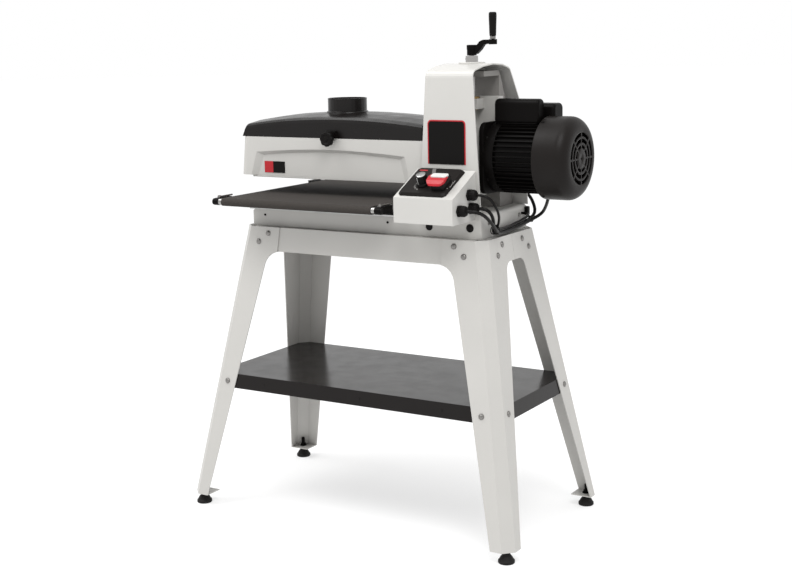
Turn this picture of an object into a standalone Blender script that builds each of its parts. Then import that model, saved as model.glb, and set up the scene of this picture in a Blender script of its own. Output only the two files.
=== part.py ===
"""Open-ended drum thickness sander on a folded-sheet stand.

Units are metres, +Z is up, +X runs from the open end towards the motor, and the board
is fed from the front (-Y). The origin is on the floor at the middle of the machine.
"""

import math

import bmesh
import bpy
from mathutils import Matrix, Vector

# Overall sizes and the gap kept between touching pieces.
GAP = 0.0003
HALF_LENGTH = 0.5162
STAND_X = -0.033
STAND_TOP = 0.758

# Stand: folded legs whose corner is a flat facet between two flanges.
LEG_BOTTOM = 0.030
LEG_BOTTOM_X = 0.488
LEG_BOTTOM_Y = 0.235
LEG_TOP_X = 0.3608
LEG_TOP_Y = 0.1174
CORNER = 0.025
SHEET = 0.0025
GUSSET_BOTTOM = 0.695
GUSSET_WIDTHS = (0.1000, 0.0920)
FOOT_X = 0.4627
FOOT_Y = 0.2348
FOOT_RADIUS = 0.0205
SHELF_TOP = 0.365
SHELF_LIP = 0.038

# Base casting.
BASE_LEFT = -0.378
BASE_RIGHT = 0.308
BASE_FRONT = -0.119
BASE_REAR = 0.126
BASE_BOTTOM = STAND_TOP + GAP
BED_SEAT = 0.800
BASE_TOP = 0.8175
BASE_STEP_X = 0.100
BASE_WALL = 0.008

# Conveyor.
BELT_X = -0.1565
BELT_WIDTH = 0.457
BELT_TOP = 0.842
BELT_THICK = 0.0015
ROLLER_R = 0.0085
ROLLER_Y = 0.2365
ROLLER_Z = BELT_TOP - BELT_THICK - ROLLER_R - GAP
ROLLER_END = 0.0100
BRACKET_R = 0.0092
BRACKET_LENGTH = 0.0158
BED_TOP = 0.8400
BED_WALL = 0.004
BED_HALF_Y = 0.2165
BED_FOOT_Y = 0.1180
BED_PLATE = 0.8245

# Drum head. It is drawn at its rest height and slides up and down the column.
DRUM_Z = 0.950
DRUM_R = 0.0635
ABRASIVE = 0.0012
DRUM_SIDES = 36
HEAD_BOTTOM = 0.889
HEAD_TOP = 0.991
HEAD_LEFT = -0.428
HEAD_RIGHT = 0.139
HEAD_HALF_Y = 0.1035
CHAMBER_LEFT = -0.405
CHAMBER_RIGHT = 0.117
CHAMBER_HALF_Y = 0.0885
SADDLE_Y = (0.019, 0.0447)
SADDLE_RIGHT = 0.2855
SHAFT_R = 0.0125
BEARING_R = 0.0265
PRESSURE_Y = 0.0745
PRESSURE_R = 0.0125
PRESSURE_Z = 0.8961

# Dust cover.
LID_BOTTOM = HEAD_TOP + 0.0005
LID_TOP = 1.046
LID_LEFT = -0.416
LID_RIGHT = 0.1365
LID_HALF_Y = 0.1035
LID_CROWN_X = -0.118
LID_CROWN = 0.24
LID_LEAN = 0.45
LID_ROUND = 0.014
LID_WALL = 0.003
LID_HINGE = (0.1105, 0.9935)
HINGE_PIN_R = 0.0030
PORT = (-0.151, 0.005)
PORT_R = 0.051
PORT_TOP = 1.0887
LID_KNOB = (-0.131, -0.122, 0.991)

# Tower.
TOWER_FRONT = -0.112
TOWER_REAR = 0.1255
TOWER_WALL = 0.003
TOWER_FLARE = 0.0100
CRANK_X = 0.2226
ARM_BORE_R = 0.0086
SCREW_R = 0.0080
CRANK_REACH = 0.0584

# Motor.
MOTOR_LEFT = 0.2860
MOTOR_RIGHT = 0.4420
MOTOR_R = 0.0885
FAN_COVER_LEFT = 0.4305
FAN_COVER_R = 0.1004

# Control box: the panel slopes down towards the front.
BOX_X = (0.129, 0.291)
BOX_FRONT = -0.230
BOX_BOTTOM = 0.805
BOX_LIP = 0.8665
BOX_BACK = TOWER_FRONT - GAP
SLOPE = math.radians(26.0)
PANEL_TOP = 0.0080
KNOB_X = 0.1905
KNOB_ALONG = 0.0480
KNOB_HOLE_R = 0.0050
SWITCH_X = 0.2405
SWITCH_ALONG = 0.0480
PADDLE_HINGE = (0.0130, 0.0290)
GLANDS = (
    ("gland_top", -0.1500, 0.8700),
    ("gland_front", -0.1990, 0.8370),
    ("gland_rear", -0.1420, 0.8370),
)

# The three leads leave the glands and run back together along the base's right side.
CORD_R = 0.0042
LEAD_R = 0.0032
GLAND_END = BOX_X[1] + 0.0240
LEAD_HOLE = (0.1000, 0.7970)
POWER_ROUTE = (
    (GLAND_END + 0.001, -0.1420, 0.8370),
    (GLAND_END + 0.012, -0.1415, 0.8368),
    (0.3370, -0.1370, 0.8320),
    (0.3410, -0.1270, 0.8200),
    (0.3385, -0.1140, 0.8040),
    (0.3310, -0.0990, 0.7880),
    (0.3220, -0.0800, 0.7740),
    (0.3160, -0.0520, 0.7670),
    (0.3150, -0.0020, 0.7660),
    (0.3150, 0.0420, 0.7690),
    (0.3150, 0.0880, 0.7740),
    (0.3170, 0.1210, 0.7790),
    (0.3225, 0.1390, 0.7890),
    (0.3240, 0.1430, 0.8020),
    (0.3170, 0.1470, 0.8190),
    (0.3050, 0.1510, 0.8350),
    (0.2860, 0.1550, 0.8480),
    (0.2610, 0.1590, 0.8510),
    (0.2370, 0.1620, 0.8370),
    (0.2200, 0.1640, 0.8050),
    (0.2110, 0.1650, 0.7500),
    (0.2070, 0.1650, 0.6800),
    (0.2050, 0.1650, 0.6000),
    (0.2050, 0.1650, 0.5000),
    (0.2050, 0.1650, 0.4300),
    (0.2080, 0.1600, 0.3960),
    (0.2180, 0.1430, 0.3735),
    (0.2350, 0.1170, 0.3695),
    (0.2600, 0.0800, 0.3695),
    (0.2860, 0.0405, 0.3695),
    (0.3160, -0.0090, 0.3695),
)
MOTOR_ROUTE = (
    (GLAND_END + 0.001, -0.1990, 0.8370),
    (GLAND_END + 0.011, -0.1985, 0.8369),
    (0.3390, -0.1900, 0.8340),
    (0.3460, -0.1720, 0.8240),
    (0.3480, -0.1500, 0.8090),
    (0.3460, -0.1260, 0.7930),
    (0.3400, -0.0990, 0.7790),
    (0.3320, -0.0740, 0.7700),
    (0.3258, -0.0520, 0.7670),
    (0.3252, -0.0020, 0.7670),
    (0.3252, 0.0420, 0.7700),
    (0.3260, 0.0850, 0.7750),
    (0.3310, 0.1120, 0.7810),
    (0.3420, 0.1260, 0.7890),
    (0.3560, 0.1230, 0.8000),
    (0.3720, 0.1060, 0.8160),
    (0.3870, 0.0850, 0.8330),
    (0.4000, 0.0650, 0.8520),
    (0.4050, 0.0555, 0.8680),
    (0.4050, 0.0550, 0.8760),
)
DRIVE_ROUTE = (
    (GLAND_END + 0.001, -0.1500, 0.8700),
    (GLAND_END + 0.012, -0.1498, 0.8699),
    (0.3380, -0.1470, 0.8670),
    (0.3470, -0.1400, 0.8580),
    (0.3520, -0.1310, 0.8440),
    (0.3530, -0.1190, 0.8290),
    (0.3490, -0.1050, 0.8130),
    (0.3400, -0.0900, 0.7980),
    (0.3290, -0.0740, 0.7860),
    (0.3220, -0.0520, 0.7770),
    (0.3205, -0.0020, 0.7765),
    (0.3225, 0.0320, 0.7800),
    (0.3280, 0.0580, 0.7855),
    (0.3320, 0.0760, 0.7905),
    (0.3305, 0.0905, 0.7950),
    (0.3235, 0.0985, 0.7970),
    (0.3130, LEAD_HOLE[0], LEAD_HOLE[1]),
    (0.2940, LEAD_HOLE[0], LEAD_HOLE[1]),
)

# The spare cord lies on the shelf behind the front right leg as a coil two turns wide and high.
COIL_CENTRE = (0.3060, -0.0765)
COIL_R = 10 * CORD_R
COIL_BOTTOM = SHELF_TOP + GAP
PLUG_R = 0.0130
PLUG_START = (0.3060 - 0.0503, -0.0765 + 0.0232, SHELF_TOP + PLUG_R + GAP)
PLUG_HEADING = math.radians(106.0)


def clear_scene():
    """Remove every object that the file opens with."""
    for thing in list(bpy.data.objects):
        bpy.data.objects.remove(thing, do_unlink=True)


def material(name, colour, roughness, metallic=0.0):
    """A Principled material in one flat colour."""
    mat = bpy.data.materials.new(name)
    mat.use_nodes = True
    shader = mat.node_tree.nodes["Principled BSDF"]
    shader.inputs["Base Color"].default_value = (*colour, 1.0)
    shader.inputs["Roughness"].default_value = roughness
    shader.inputs["Metallic"].default_value = metallic
    return mat


def place(name, bm, mat, origin=(0.0, 0.0, 0.0), smooth=True, outward=True):
    """Make the named object from world-space geometry, with its origin where it turns."""
    if outward:
        bmesh.ops.recalc_face_normals(bm, faces=bm.faces)
    bmesh.ops.translate(bm, verts=bm.verts, vec=-Vector(origin))
    mesh = bpy.data.meshes.new(name)
    bm.to_mesh(mesh)
    bm.free()
    if smooth:
        mesh.shade_smooth()
        mesh.set_sharp_from_angle(angle=math.radians(35))
    obj = bpy.data.objects.new(name, mesh)
    obj.location = origin
    if mat is not None:
        mesh.materials.append(mat)
    bpy.context.scene.collection.objects.link(obj)
    return obj


def cutter(name, bm):
    """A solid that only cuts or joins, and isn't a piece itself."""
    tool = place(name, bm, None)
    tool.hide_render = True
    tool.display_type = "WIRE"
    return tool


def boolean(obj, tool, operation="DIFFERENCE", solver="EXACT"):
    """Cut the tool out of the object, or join it on, with a live modifier."""
    step = obj.modifiers.new(tool.name, "BOOLEAN")
    step.object = tool
    step.operation = operation
    step.solver = solver
    return obj


def carve(obj, steps):
    """Apply (name, shape, operation) steps in turn to a casting with many of them."""
    for name, shape, operation in steps:
        boolean(obj, cutter(name, shape), operation, "MANIFOLD")
    return obj


def turn_to(axis):
    """Rotation that takes +Z to the named axis, keeping prism outlines readable."""
    return {
        "X": Matrix(((0, 0, 1), (1, 0, 0), (0, 1, 0))),
        "Y": Matrix(((1, 0, 0), (0, 0, 1), (0, 1, 0))),
        "Z": Matrix.Identity(3),
    }[axis]


def prism(outline, axis, start, end):
    """Extrude an outline: (y, z) along X, (x, z) along Y, or (x, y) along Z."""
    bm = bmesh.new()
    turn = turn_to(axis)
    near = [bm.verts.new(turn @ Vector((a, b, start))) for a, b in outline]
    far = [bm.verts.new(turn @ Vector((a, b, end))) for a, b in outline]
    bm.faces.new(near)
    bm.faces.new(far)
    for i in range(len(outline)):
        j = (i + 1) % len(outline)
        bm.faces.new((near[i], near[j], far[j], far[i]))
    return bm


def box(x, y, z):
    """A block from three (low, high) pairs."""
    return prism([(x[0], y[0]), (x[1], y[0]), (x[1], y[1]), (x[0], y[1])], "Z", z[0], z[1])


def loft(rings):
    """Join rings of world points into one closed solid."""
    bm = bmesh.new()
    rows = [[bm.verts.new(point) for point in ring] for ring in rings]
    count = len(rows[0])
    for low, high in zip(rows, rows[1:]):
        for i in range(count):
            j = (i + 1) % count
            bm.faces.new((low[i], low[j], high[j], high[i]))
    bm.faces.new(rows[0])
    bm.faces.new(rows[-1])
    return bm


def lathe(profile, axis="X", centre=(0.0, 0.0), segments=24):
    """Turn a closed profile of (along, radius) points about an axis through the centre."""
    bm = bmesh.new()
    turn = turn_to(axis)
    shift = turn @ Vector((centre[0], centre[1], 0.0))
    rings = []
    for along, radius in profile:
        if radius == 0.0:
            rings.append([bm.verts.new(turn @ Vector((0.0, 0.0, along)) + shift)] * segments)
            continue
        ring = []
        for i in range(segments):
            angle = 2.0 * math.pi * i / segments
            spot = Vector((radius * math.cos(angle), radius * math.sin(angle), along))
            ring.append(bm.verts.new(turn @ spot + shift))
        rings.append(ring)
    for first, second in zip(rings, rings[1:] + rings[:1]):
        for i in range(segments):
            j = (i + 1) % segments
            corners = list(dict.fromkeys((first[i], first[j], second[j], second[i])))
            if len(corners) > 2:
                bm.faces.new(corners)
    return bm


def cylinder(axis, centre, radius, start, end, segments=20):
    """A plain cylinder along X, Y or Z; centre is in the plane across the axis."""
    return lathe([(start, 0.0), (start, radius), (end, radius), (end, 0.0)], axis, centre, segments)


def tube(axis, centre, outer, inner, start, end, segments=24):
    """A plain tube along X, Y or Z."""
    profile = [(start, inner), (start, outer), (end, outer), (end, inner)]
    return lathe(profile, axis, centre, segments)


def arc(centre, radius, start, end, steps):
    """Points of a circular arc between two angles in degrees."""
    points = []
    for i in range(steps + 1):
        angle = math.radians(start + (end - start) * i / steps)
        points.append((centre[0] + radius * math.cos(angle), centre[1] + radius * math.sin(angle)))
    return points


def rounded(x, y, radius, steps=3):
    """A rectangle with rounded corners, anticlockwise."""
    low, high = (x[0] + radius, y[0] + radius), (x[1] - radius, y[1] - radius)
    return (
        arc((high[0], low[1]), radius, -90, 0, steps)
        + arc((high[0], high[1]), radius, 0, 90, steps)
        + arc((low[0], high[1]), radius, 90, 180, steps)
        + arc((low[0], low[1]), radius, 180, 270, steps)
    )


def fillet(before, corner, after, radius, steps=5):
    """Round an outline's corner between its two neighbours."""
    corner = Vector(corner)
    back = (Vector(before) - corner).normalized()
    ahead = (Vector(after) - corner).normalized()
    half = back.angle(ahead) / 2.0
    centre = corner + (back + ahead).normalized() * (radius / math.sin(half))
    start = corner + back * (radius / math.tan(half)) - centre
    end = corner + ahead * (radius / math.tan(half)) - centre
    points = []
    for i in range(steps + 1):
        spoke = start.lerp(end, i / steps).normalized() * radius
        points.append(tuple(centre + spoke))
    return points


# ---------------------------------------------------------------- stand


def leg_reach(z):
    """Half spreads of a leg's side crease at a height, measured from the stand's middle."""
    t = (STAND_TOP - z) / (STAND_TOP - LEG_BOTTOM)
    across = LEG_TOP_X + (LEG_BOTTOM_X - LEG_TOP_X) * t
    along = LEG_TOP_Y + (LEG_BOTTOM_Y - LEG_TOP_Y) * t
    return across, along


def flange_outline(foot_width, shoulder_width, gusset_widths, radius):
    """One leg flange as (distance from the crease, height), from the foot round to the top."""
    shoulder = (shoulder_width, GUSSET_BOTTOM)
    low, high = gusset_widths
    inner = fillet((foot_width, LEG_BOTTOM), shoulder, (low, GUSSET_BOTTOM), radius)
    return [(foot_width, LEG_BOTTOM), *inner, (low, GUSSET_BOTTOM), (high, STAND_TOP)]


def leg_crease(z):
    """The two edges of a leg's corner facet at a height: on the front face and on the side face."""
    across, along = leg_reach(z)
    return Vector((across - CORNER, along + CORNER, z)), Vector((across, along, z))


def leg(name, side, end, mat):
    """A folded leg: front flange, corner facet, side flange and a foot plate turned in."""
    bm = bmesh.new()

    def spot(point):
        return bm.verts.new((STAND_X + side * point.x, end * point.y, point.z))

    front_low, side_low = (spot(point) for point in leg_crease(LEG_BOTTOM))
    front_high, side_high = (spot(point) for point in leg_crease(STAND_TOP))
    front_outline = flange_outline(0.032, 0.070, GUSSET_WIDTHS, 0.036)
    middle = [leg_reach(z)[1] - GAP for z in (GUSSET_BOTTOM, STAND_TOP)]
    side_outline = flange_outline(0.027, 0.082, middle, 0.020)
    front = [spot(leg_crease(z)[0] - Vector((u, 0, 0))) for u, z in front_outline]
    flank = [spot(leg_crease(z)[1] - Vector((0, u, 0))) for u, z in side_outline]
    inner_corner = bm.verts.new((front[0].co.x, flank[0].co.y, LEG_BOTTOM))
    facet = bm.faces.new([side_low, front_low, front_high, side_high])
    bm.faces.new([front_low, *front, front_high])
    bm.faces.new([*reversed(flank), side_low, side_high])
    bm.faces.new([front[0], front_low, side_low, flank[0], inner_corner])
    bmesh.ops.recalc_face_normals(bm, faces=bm.faces)
    if facet.normal.x * side < 0:
        bmesh.ops.reverse_faces(bm, faces=bm.faces)
    obj = place(name, bm, mat, smooth=False, outward=False)
    thick = obj.modifiers.new("sheet", "SOLIDIFY")
    thick.thickness = SHEET
    thick.offset = -1.0
    thick.use_even_offset = True
    foot_at = (STAND_X + side * FOOT_X, end * FOOT_Y)
    hole = cutter(name + "_hole", cylinder("Z", foot_at, 0.0057, 0.02, 0.05, 16))
    return boolean(obj, hole)


def foot(name, side, end, mat):
    """A levelling foot: cone pad, stud through the leg's plate, and its lock nut."""
    plate_top = LEG_BOTTOM + SHEET
    profile = [
        (0.0, 0.0),
        (0.0, FOOT_RADIUS - 0.002),
        (0.002, FOOT_RADIUS),
        (0.006, FOOT_RADIUS),
        (0.022, 0.0125),
        (0.027, 0.0115),
        (0.027, 0.0052),
        (plate_top + 0.0006, 0.0052),
        (plate_top + 0.0006, 0.0105),
        (plate_top + 0.004, 0.0085),
        (plate_top + 0.011, 0.0080),
        (plate_top + 0.011, 0.0048),
        (plate_top + 0.026, 0.0048),
        (plate_top + 0.026, 0.0),
    ]
    centre = (STAND_X + side * FOOT_X, end * FOOT_Y)
    return place(name, lathe(profile, "Z", centre, 14), mat)


def channel(face, inward, top_flange, bottom_lip):
    """Closed outline of a folded rail; face gives the outer line, inward its flange side."""
    top, bottom = STAND_TOP - GAP, GUSSET_BOTTOM + 0.0005
    outer_top, outer_bottom = face(top), face(bottom)
    skin = inward * SHEET
    return [
        (outer_bottom, bottom),
        (outer_top, top),
        (outer_top + inward * top_flange, top),
        (outer_top + inward * top_flange, top - SHEET),
        (face(top - SHEET) + skin, top - SHEET),
        (face(bottom + SHEET) + skin, bottom + SHEET),
        (outer_bottom + inward * bottom_lip, bottom + SHEET),
        (outer_bottom + inward * bottom_lip, bottom),
    ]


def rails(mat):
    """Front and rear rails behind the leg gussets, and two short ones across the ends."""
    behind = SHEET * 1.03 + GAP
    for name, sign in (("rail_front", -1), ("rail_rear", 1)):
        outline = channel(lambda z, s=sign: s * (leg_reach(z)[1] + CORNER - behind), -sign, 0.040, 0.014)
        place(name, prism(outline, "X", STAND_X - 0.329, STAND_X + 0.329), mat, smooth=False)
    for name, sign in (("rail_left", -1), ("rail_right", 1)):
        outline = channel(lambda z, s=sign: STAND_X + s * (leg_reach(z)[0] - behind), -sign, 0.022, 0.012)
        place(name, prism(outline, "Y", -0.095, 0.095), mat, smooth=False)


def shelf(mat):
    """A tray with turned-down lips that sits between the four legs."""
    inset = SHEET * 1.03 + 0.0006

    def ring(z):
        across, along = leg_reach(z)
        slip = 0.414 * inset
        quarter = [
            (across - inset, along - slip),
            (across - CORNER - slip, along + CORNER - inset),
        ]
        corners = list(quarter)
        corners += [(-x, y) for x, y in reversed(quarter)]
        corners += [(-x, -y) for x, y in quarter]
        corners += [(x, -y) for x, y in reversed(quarter)]
        return [Vector((STAND_X + x, y, z)) for x, y in corners]

    bm = bmesh.new()
    top = [bm.verts.new(p) for p in ring(SHELF_TOP)]
    low = [bm.verts.new(p) for p in ring(SHELF_TOP - SHELF_LIP)]
    bm.faces.new(top)
    for i in range(8):
        j = (i + 1) % 8
        bm.faces.new((top[i], low[i], low[j], top[j]))
    bmesh.ops.recalc_face_normals(bm, faces=bm.faces)
    if bm.faces[0].normal.z < 0:
        bmesh.ops.reverse_faces(bm, faces=bm.faces)
    obj = place("shelf", bm, mat, smooth=False, outward=False)
    thick = obj.modifiers.new("sheet", "SOLIDIFY")
    thick.thickness = 0.0015
    thick.offset = -1.0
    thick.use_even_offset = True
    return obj


def stand(paint, dark, rubber):
    """Four legs, four rails, four feet and the shelf."""
    for end_name, end in (("front", -1), ("rear", 1)):
        for side_name, side in (("left", -1), ("right", 1)):
            leg(f"leg_{end_name}_{side_name}", side, end, paint)
            foot(f"foot_{end_name}_{side_name}", side, end, rubber)
    rails(paint)
    shelf(dark)


# ---------------------------------------------------------------- base and conveyor


def machine_base(mat):
    """Hollow casting: a low seat for the conveyor and a raised pedestal for the tower."""
    outline = [
        (BASE_LEFT, BASE_BOTTOM),
        (BASE_RIGHT, BASE_BOTTOM),
        (BASE_RIGHT, BASE_TOP - 0.008),
        *arc((BASE_RIGHT - 0.008, BASE_TOP - 0.008), 0.008, 0, 90, 3)[1:],
        (BASE_STEP_X, BASE_TOP),
        (BASE_STEP_X - 0.008, BED_SEAT),
        (BASE_LEFT + 0.004, BED_SEAT),
        (BASE_LEFT, BED_SEAT - 0.004),
    ]
    obj = place("machine_base", prism(outline, "Y", BASE_FRONT, BASE_REAR), mat)
    inner_x = (BASE_LEFT + BASE_WALL, BASE_RIGHT - BASE_WALL)
    inner_y = (BASE_FRONT + BASE_WALL, BASE_REAR - BASE_WALL)
    hollow = box(inner_x, inner_y, (BASE_BOTTOM - 0.01, BED_SEAT - BASE_WALL))
    boolean(obj, cutter("base_hollow", hollow))
    above = box((BASE_STEP_X + BASE_WALL, inner_x[1]), inner_y, (BED_SEAT - 0.02, BASE_TOP - BASE_WALL))
    boolean(obj, cutter("pedestal_hollow", above))
    hole = cylinder("X", LEAD_HOLE, LEAD_R + GAP, inner_x[1] - 0.002, BASE_RIGHT + 0.002, 16)
    return boolean(obj, cutter("lead_hole", hole))


def belt_side(side):
    """X of the belt's left or right edge."""
    return BELT_X + side * BELT_WIDTH / 2


def conveyor_bed(mat):
    """A table plate inside the belt, on two walls and a floor that stand on the base."""
    outer = (belt_side(-1) - 0.0020 - BED_WALL, belt_side(1) + 0.0020 + BED_WALL)
    outline = [
        (-BED_FOOT_Y, BED_SEAT + GAP),
        (BED_FOOT_Y, BED_SEAT + GAP),
        (BED_FOOT_Y, BED_PLATE),
        (BED_HALF_Y, BED_PLATE),
        (BED_HALF_Y, BED_TOP),
        (-BED_HALF_Y, BED_TOP),
        (-BED_HALF_Y, BED_PLATE),
        (-BED_FOOT_Y, BED_PLATE),
    ]
    obj = place("conveyor_bed", prism(outline, "X", *outer), mat, smooth=False)
    inner = (outer[0] + BED_WALL, outer[1] - BED_WALL)
    passage = box(inner, (-0.25, 0.25), (BED_SEAT + 0.0050, BED_PLATE))
    return boolean(obj, cutter("belt_passage", passage))


def belt_loop(radius):
    """Outline in (y, z) of a loop round both conveyor rollers at a radius."""
    front = arc((-ROLLER_Y, ROLLER_Z), radius, 90, 270, 12)
    return front + arc((ROLLER_Y, ROLLER_Z), radius, -90, 90, 12)


def conveyor_belt(mat):
    """The endless abrasive belt, as a closed band."""
    bm = bmesh.new()
    inner_r = ROLLER_R + GAP
    rings = []
    for side in (-1, 1):
        for radius in (inner_r, inner_r + BELT_THICK):
            rings.append([bm.verts.new((belt_side(side), y, z)) for y, z in belt_loop(radius)])
    inner_left, outer_left, inner_right, outer_right = rings
    pairs = (
        (inner_left, outer_left),
        (outer_left, outer_right),
        (outer_right, inner_right),
        (inner_right, inner_left),
    )
    for first, second in pairs:
        for i in range(len(first)):
            j = (i + 1) % len(first)
            bm.faces.new((first[i], first[j], second[j], second[i]))
    return place("conveyor_belt", bm, mat)


def conveyor_roller(name, sign, mat):
    """A roller with a journal at each end."""
    face = BELT_WIDTH / 2 + ROLLER_END
    tip = face + 0.0120
    profile = [
        (BELT_X - tip, 0.0),
        (BELT_X - tip, 0.0042),
        (BELT_X - face, 0.0042),
        (BELT_X - face, ROLLER_R),
        (BELT_X + face, ROLLER_R),
        (BELT_X + face, 0.0042),
        (BELT_X + tip, 0.0042),
        (BELT_X + tip, 0.0),
    ]
    origin = (BELT_X, sign * ROLLER_Y, ROLLER_Z)
    return place(name, lathe(profile, "X", (sign * ROLLER_Y, ROLLER_Z), 20), mat, origin)


def roller_bracket(name, side, end, mat):
    """The block that holds one roller journal and bolts to the bed's side."""
    near = belt_side(side) + side * (ROLLER_END + 0.0006)
    far = near + side * BRACKET_LENGTH
    centre = (end * ROLLER_Y, ROLLER_Z)
    first = 90 if end < 0 else -90
    cap = arc(centre, BRACKET_R, first, first + 180, 8)
    tail = [(end * 0.185, ROLLER_Z + end * BRACKET_R), (end * 0.185, ROLLER_Z - end * BRACKET_R)]
    block = prism(cap + tail, "X", near, far)
    obj = place(name, block, mat)
    bed_face = belt_side(side) + side * (0.0020 + BED_WALL + GAP)
    low, high = sorted((end * 0.180, end * 0.212))
    bore = cylinder("X", centre, 0.0045, near - 0.002 * side, far - 0.003 * side, 16)
    boolean(obj, cutter(name + "_bore", bore))
    lug_x = sorted((bed_face, near + side * 0.004))
    lug = box(lug_x, (low, high), (ROLLER_Z - 0.0065, ROLLER_Z + 0.0065))
    return boolean(obj, cutter(name + "_lug", lug), "UNION")


def gearmotor(mat):
    """Gearbox and small motor that turn the rear roller."""
    centre = (ROLLER_Y - 0.005, ROLLER_Z)
    start = belt_side(1) + ROLLER_END + 0.0006 + BRACKET_LENGTH + GAP
    case = prism(rounded((0.2005, 0.2520), (0.7990, 0.8580), 0.006), "X", start, start + 0.055)
    obj = place("conveyor_gearmotor", case, mat)
    can = cylinder("X", centre, 0.0220, start + 0.050, 0.2300)
    return boolean(obj, cutter("gearmotor_can", can), "UNION")


def conveyor(bed_mat, belt_mat, chrome, black):
    """Bed, belt, two rollers, their brackets and the drive."""
    conveyor_bed(bed_mat)
    conveyor_belt(belt_mat)
    conveyor_roller("drive_roller", 1, chrome)
    conveyor_roller("idler_roller", -1, chrome)
    for end_name, end in (("front", -1), ("rear", 1)):
        for side_name, side in (("left", -1), ("right", 1)):
            roller_bracket(f"roller_bracket_{end_name}_{side_name}", side, end, black)
    gearmotor(black)


# ---------------------------------------------------------------- tower


def tower_column(mat):
    """Upright casting behind the leadscrew, with an arm forward that carries its bearing."""
    outline = [
        (0.0450, BASE_TOP + GAP),
        (0.1150, BASE_TOP + GAP),
        (0.1150, 0.8400),
        (0.0900, 0.8800),
        (0.0820, 1.0800),
        (0.0560, 1.1400),
        (0.0440, 1.1580),
        (-0.0350, 1.1580),
        (-0.0350, 1.1450),
        (0.0450, 1.1450),
    ]
    obj = place("tower_column", prism(outline, "X", 0.1720, 0.2740), mat)
    bore = cylinder("Z", (CRANK_X, 0.0), ARM_BORE_R, 1.12, 1.18, 20)
    return boolean(obj, cutter("column_bore", bore))


def tower_profile():
    """Side outline of the tower cover's skin in (y, z), from the front foot to the rear foot."""
    foot = BASE_TOP + GAP
    crown = [(-0.0600, 1.1720), (-0.0100, 1.1765), (0.0350, 1.1735)]
    front = fillet((TOWER_FRONT, foot), (TOWER_FRONT, 1.1610), crown[0], 0.020)
    rear = fillet(crown[-1], (0.0700, 1.1640), (0.1200, 1.0780), 0.022)
    lower = fillet((0.0700, 1.1640), (TOWER_REAR, 1.0560), (TOWER_REAR, foot), 0.060, 3)
    return [(TOWER_FRONT, foot), *front, *crown, *rear, *lower, (TOWER_REAR, foot)]


def tower_edges(y, z):
    """The cover's left and right edge: it narrows upwards, and its rear reaches further right."""
    flare = TOWER_FLARE * (y - TOWER_FRONT) / (TOWER_REAR - TOWER_FRONT)
    return 0.1400 + 0.0660 * (z - 0.930), 0.2970 - 0.0575 * (z - 0.930) + flare


def tower_cover(mat):
    """Sheet shell bent over the column, open to the head on one side and the motor on the other."""
    bm = bmesh.new()
    profile = tower_profile()
    left = [bm.verts.new((tower_edges(y, z)[0], y, z)) for y, z in profile]
    right = [bm.verts.new((tower_edges(y, z)[1], y, z)) for y, z in profile]
    for i in range(len(profile) - 1):
        bm.faces.new((left[i], left[i + 1], right[i + 1], right[i]))
    bmesh.ops.recalc_face_normals(bm, faces=bm.faces)
    if bm.faces[0].normal.y > 0:
        bmesh.ops.reverse_faces(bm, faces=bm.faces)
    obj = place("tower_cover", bm, mat, outward=False)
    thick = obj.modifiers.new("sheet", "SOLIDIFY")
    thick.thickness = TOWER_WALL
    thick.offset = -1.0
    thick.use_even_offset = True
    hole = cutter("cover_hole", cylinder("Z", (CRANK_X, 0.0), 0.0120, 1.15, 1.20, 24))
    return boolean(obj, hole)


def leadscrew(mat):
    """The height screw with the thrust collar that stands on the cover's top."""
    profile = [
        (1.0200, 0.0),
        (1.0200, SCREW_R),
        (1.1585, SCREW_R),
        (1.1585, 0.0108),
        (1.1785, 0.0108),
        (1.1785, 0.0155),
        (1.1945, 0.0155),
        (1.1945, 0.0065),
        (1.2200, 0.0065),
        (1.2200, 0.0),
    ]
    return place("leadscrew", lathe(profile, "Z", (CRANK_X, 0.0), 16), mat, (CRANK_X, 0.0, 1.1945))


def crank_arm(mat):
    """Cast crank: a boss on the screw, an S-shaped arm and the eye under the grip."""
    eye_x = CRANK_X + CRANK_REACH
    lower = [
        (CRANK_X - 0.004, 1.1960),
        (CRANK_X + 0.016, 1.1990),
        (CRANK_X + 0.027, 1.2090),
        (CRANK_X + 0.036, 1.2210),
        (eye_x - 0.004, 1.2250),
        (eye_x + 0.004, 1.2250),
    ]
    upper = [
        (eye_x + 0.004, 1.2330),
        (CRANK_X + 0.034, 1.2330),
        (CRANK_X + 0.024, 1.2290),
        (CRANK_X + 0.012, 1.2150),
        (CRANK_X - 0.004, 1.2110),
    ]
    shape = prism(lower + upper, "Y", -0.0060, 0.0060)
    obj = place("crank_arm", shape, mat, (CRANK_X, 0.0, 1.1950))
    boss = tube("Z", (CRANK_X, 0.0), 0.0120, 0.0068, 1.1955, 1.2150, 16)
    boolean(obj, cutter("crank_boss", boss), "UNION")
    boolean(obj, cutter("crank_bore", cylinder("Z", (CRANK_X, 0.0), 0.0068, 1.19, 1.2205, 16)))
    eye = cylinder("Z", (eye_x, 0.0), 0.0085, 1.2245, 1.2335, 14)
    boolean(obj, cutter("crank_eye", eye), "UNION")
    pin = cylinder("Z", (eye_x, 0.0), 0.0032, 1.2300, 1.2850, 10)
    return boolean(obj, cutter("crank_pin", pin), "UNION")


def crank_grip(mat):
    """Tapered grip that spins on the crank's pin."""
    profile = [
        (1.2345, 0.0035),
        (1.2345, 0.0060),
        (1.2400, 0.0060),
        (1.2410, 0.0072),
        (1.2600, 0.0080),
        (1.2850, 0.0096),
        (1.2960, 0.0096),
        (1.2990, 0.0080),
        (1.2990, 0.0),
        (1.2860, 0.0),
        (1.2860, 0.0035),
    ]
    eye = (CRANK_X + CRANK_REACH, 0.0)
    return place("crank_grip", lathe(profile, "Z", eye, 14), mat, (eye[0], 0.0, 1.2345))


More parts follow.
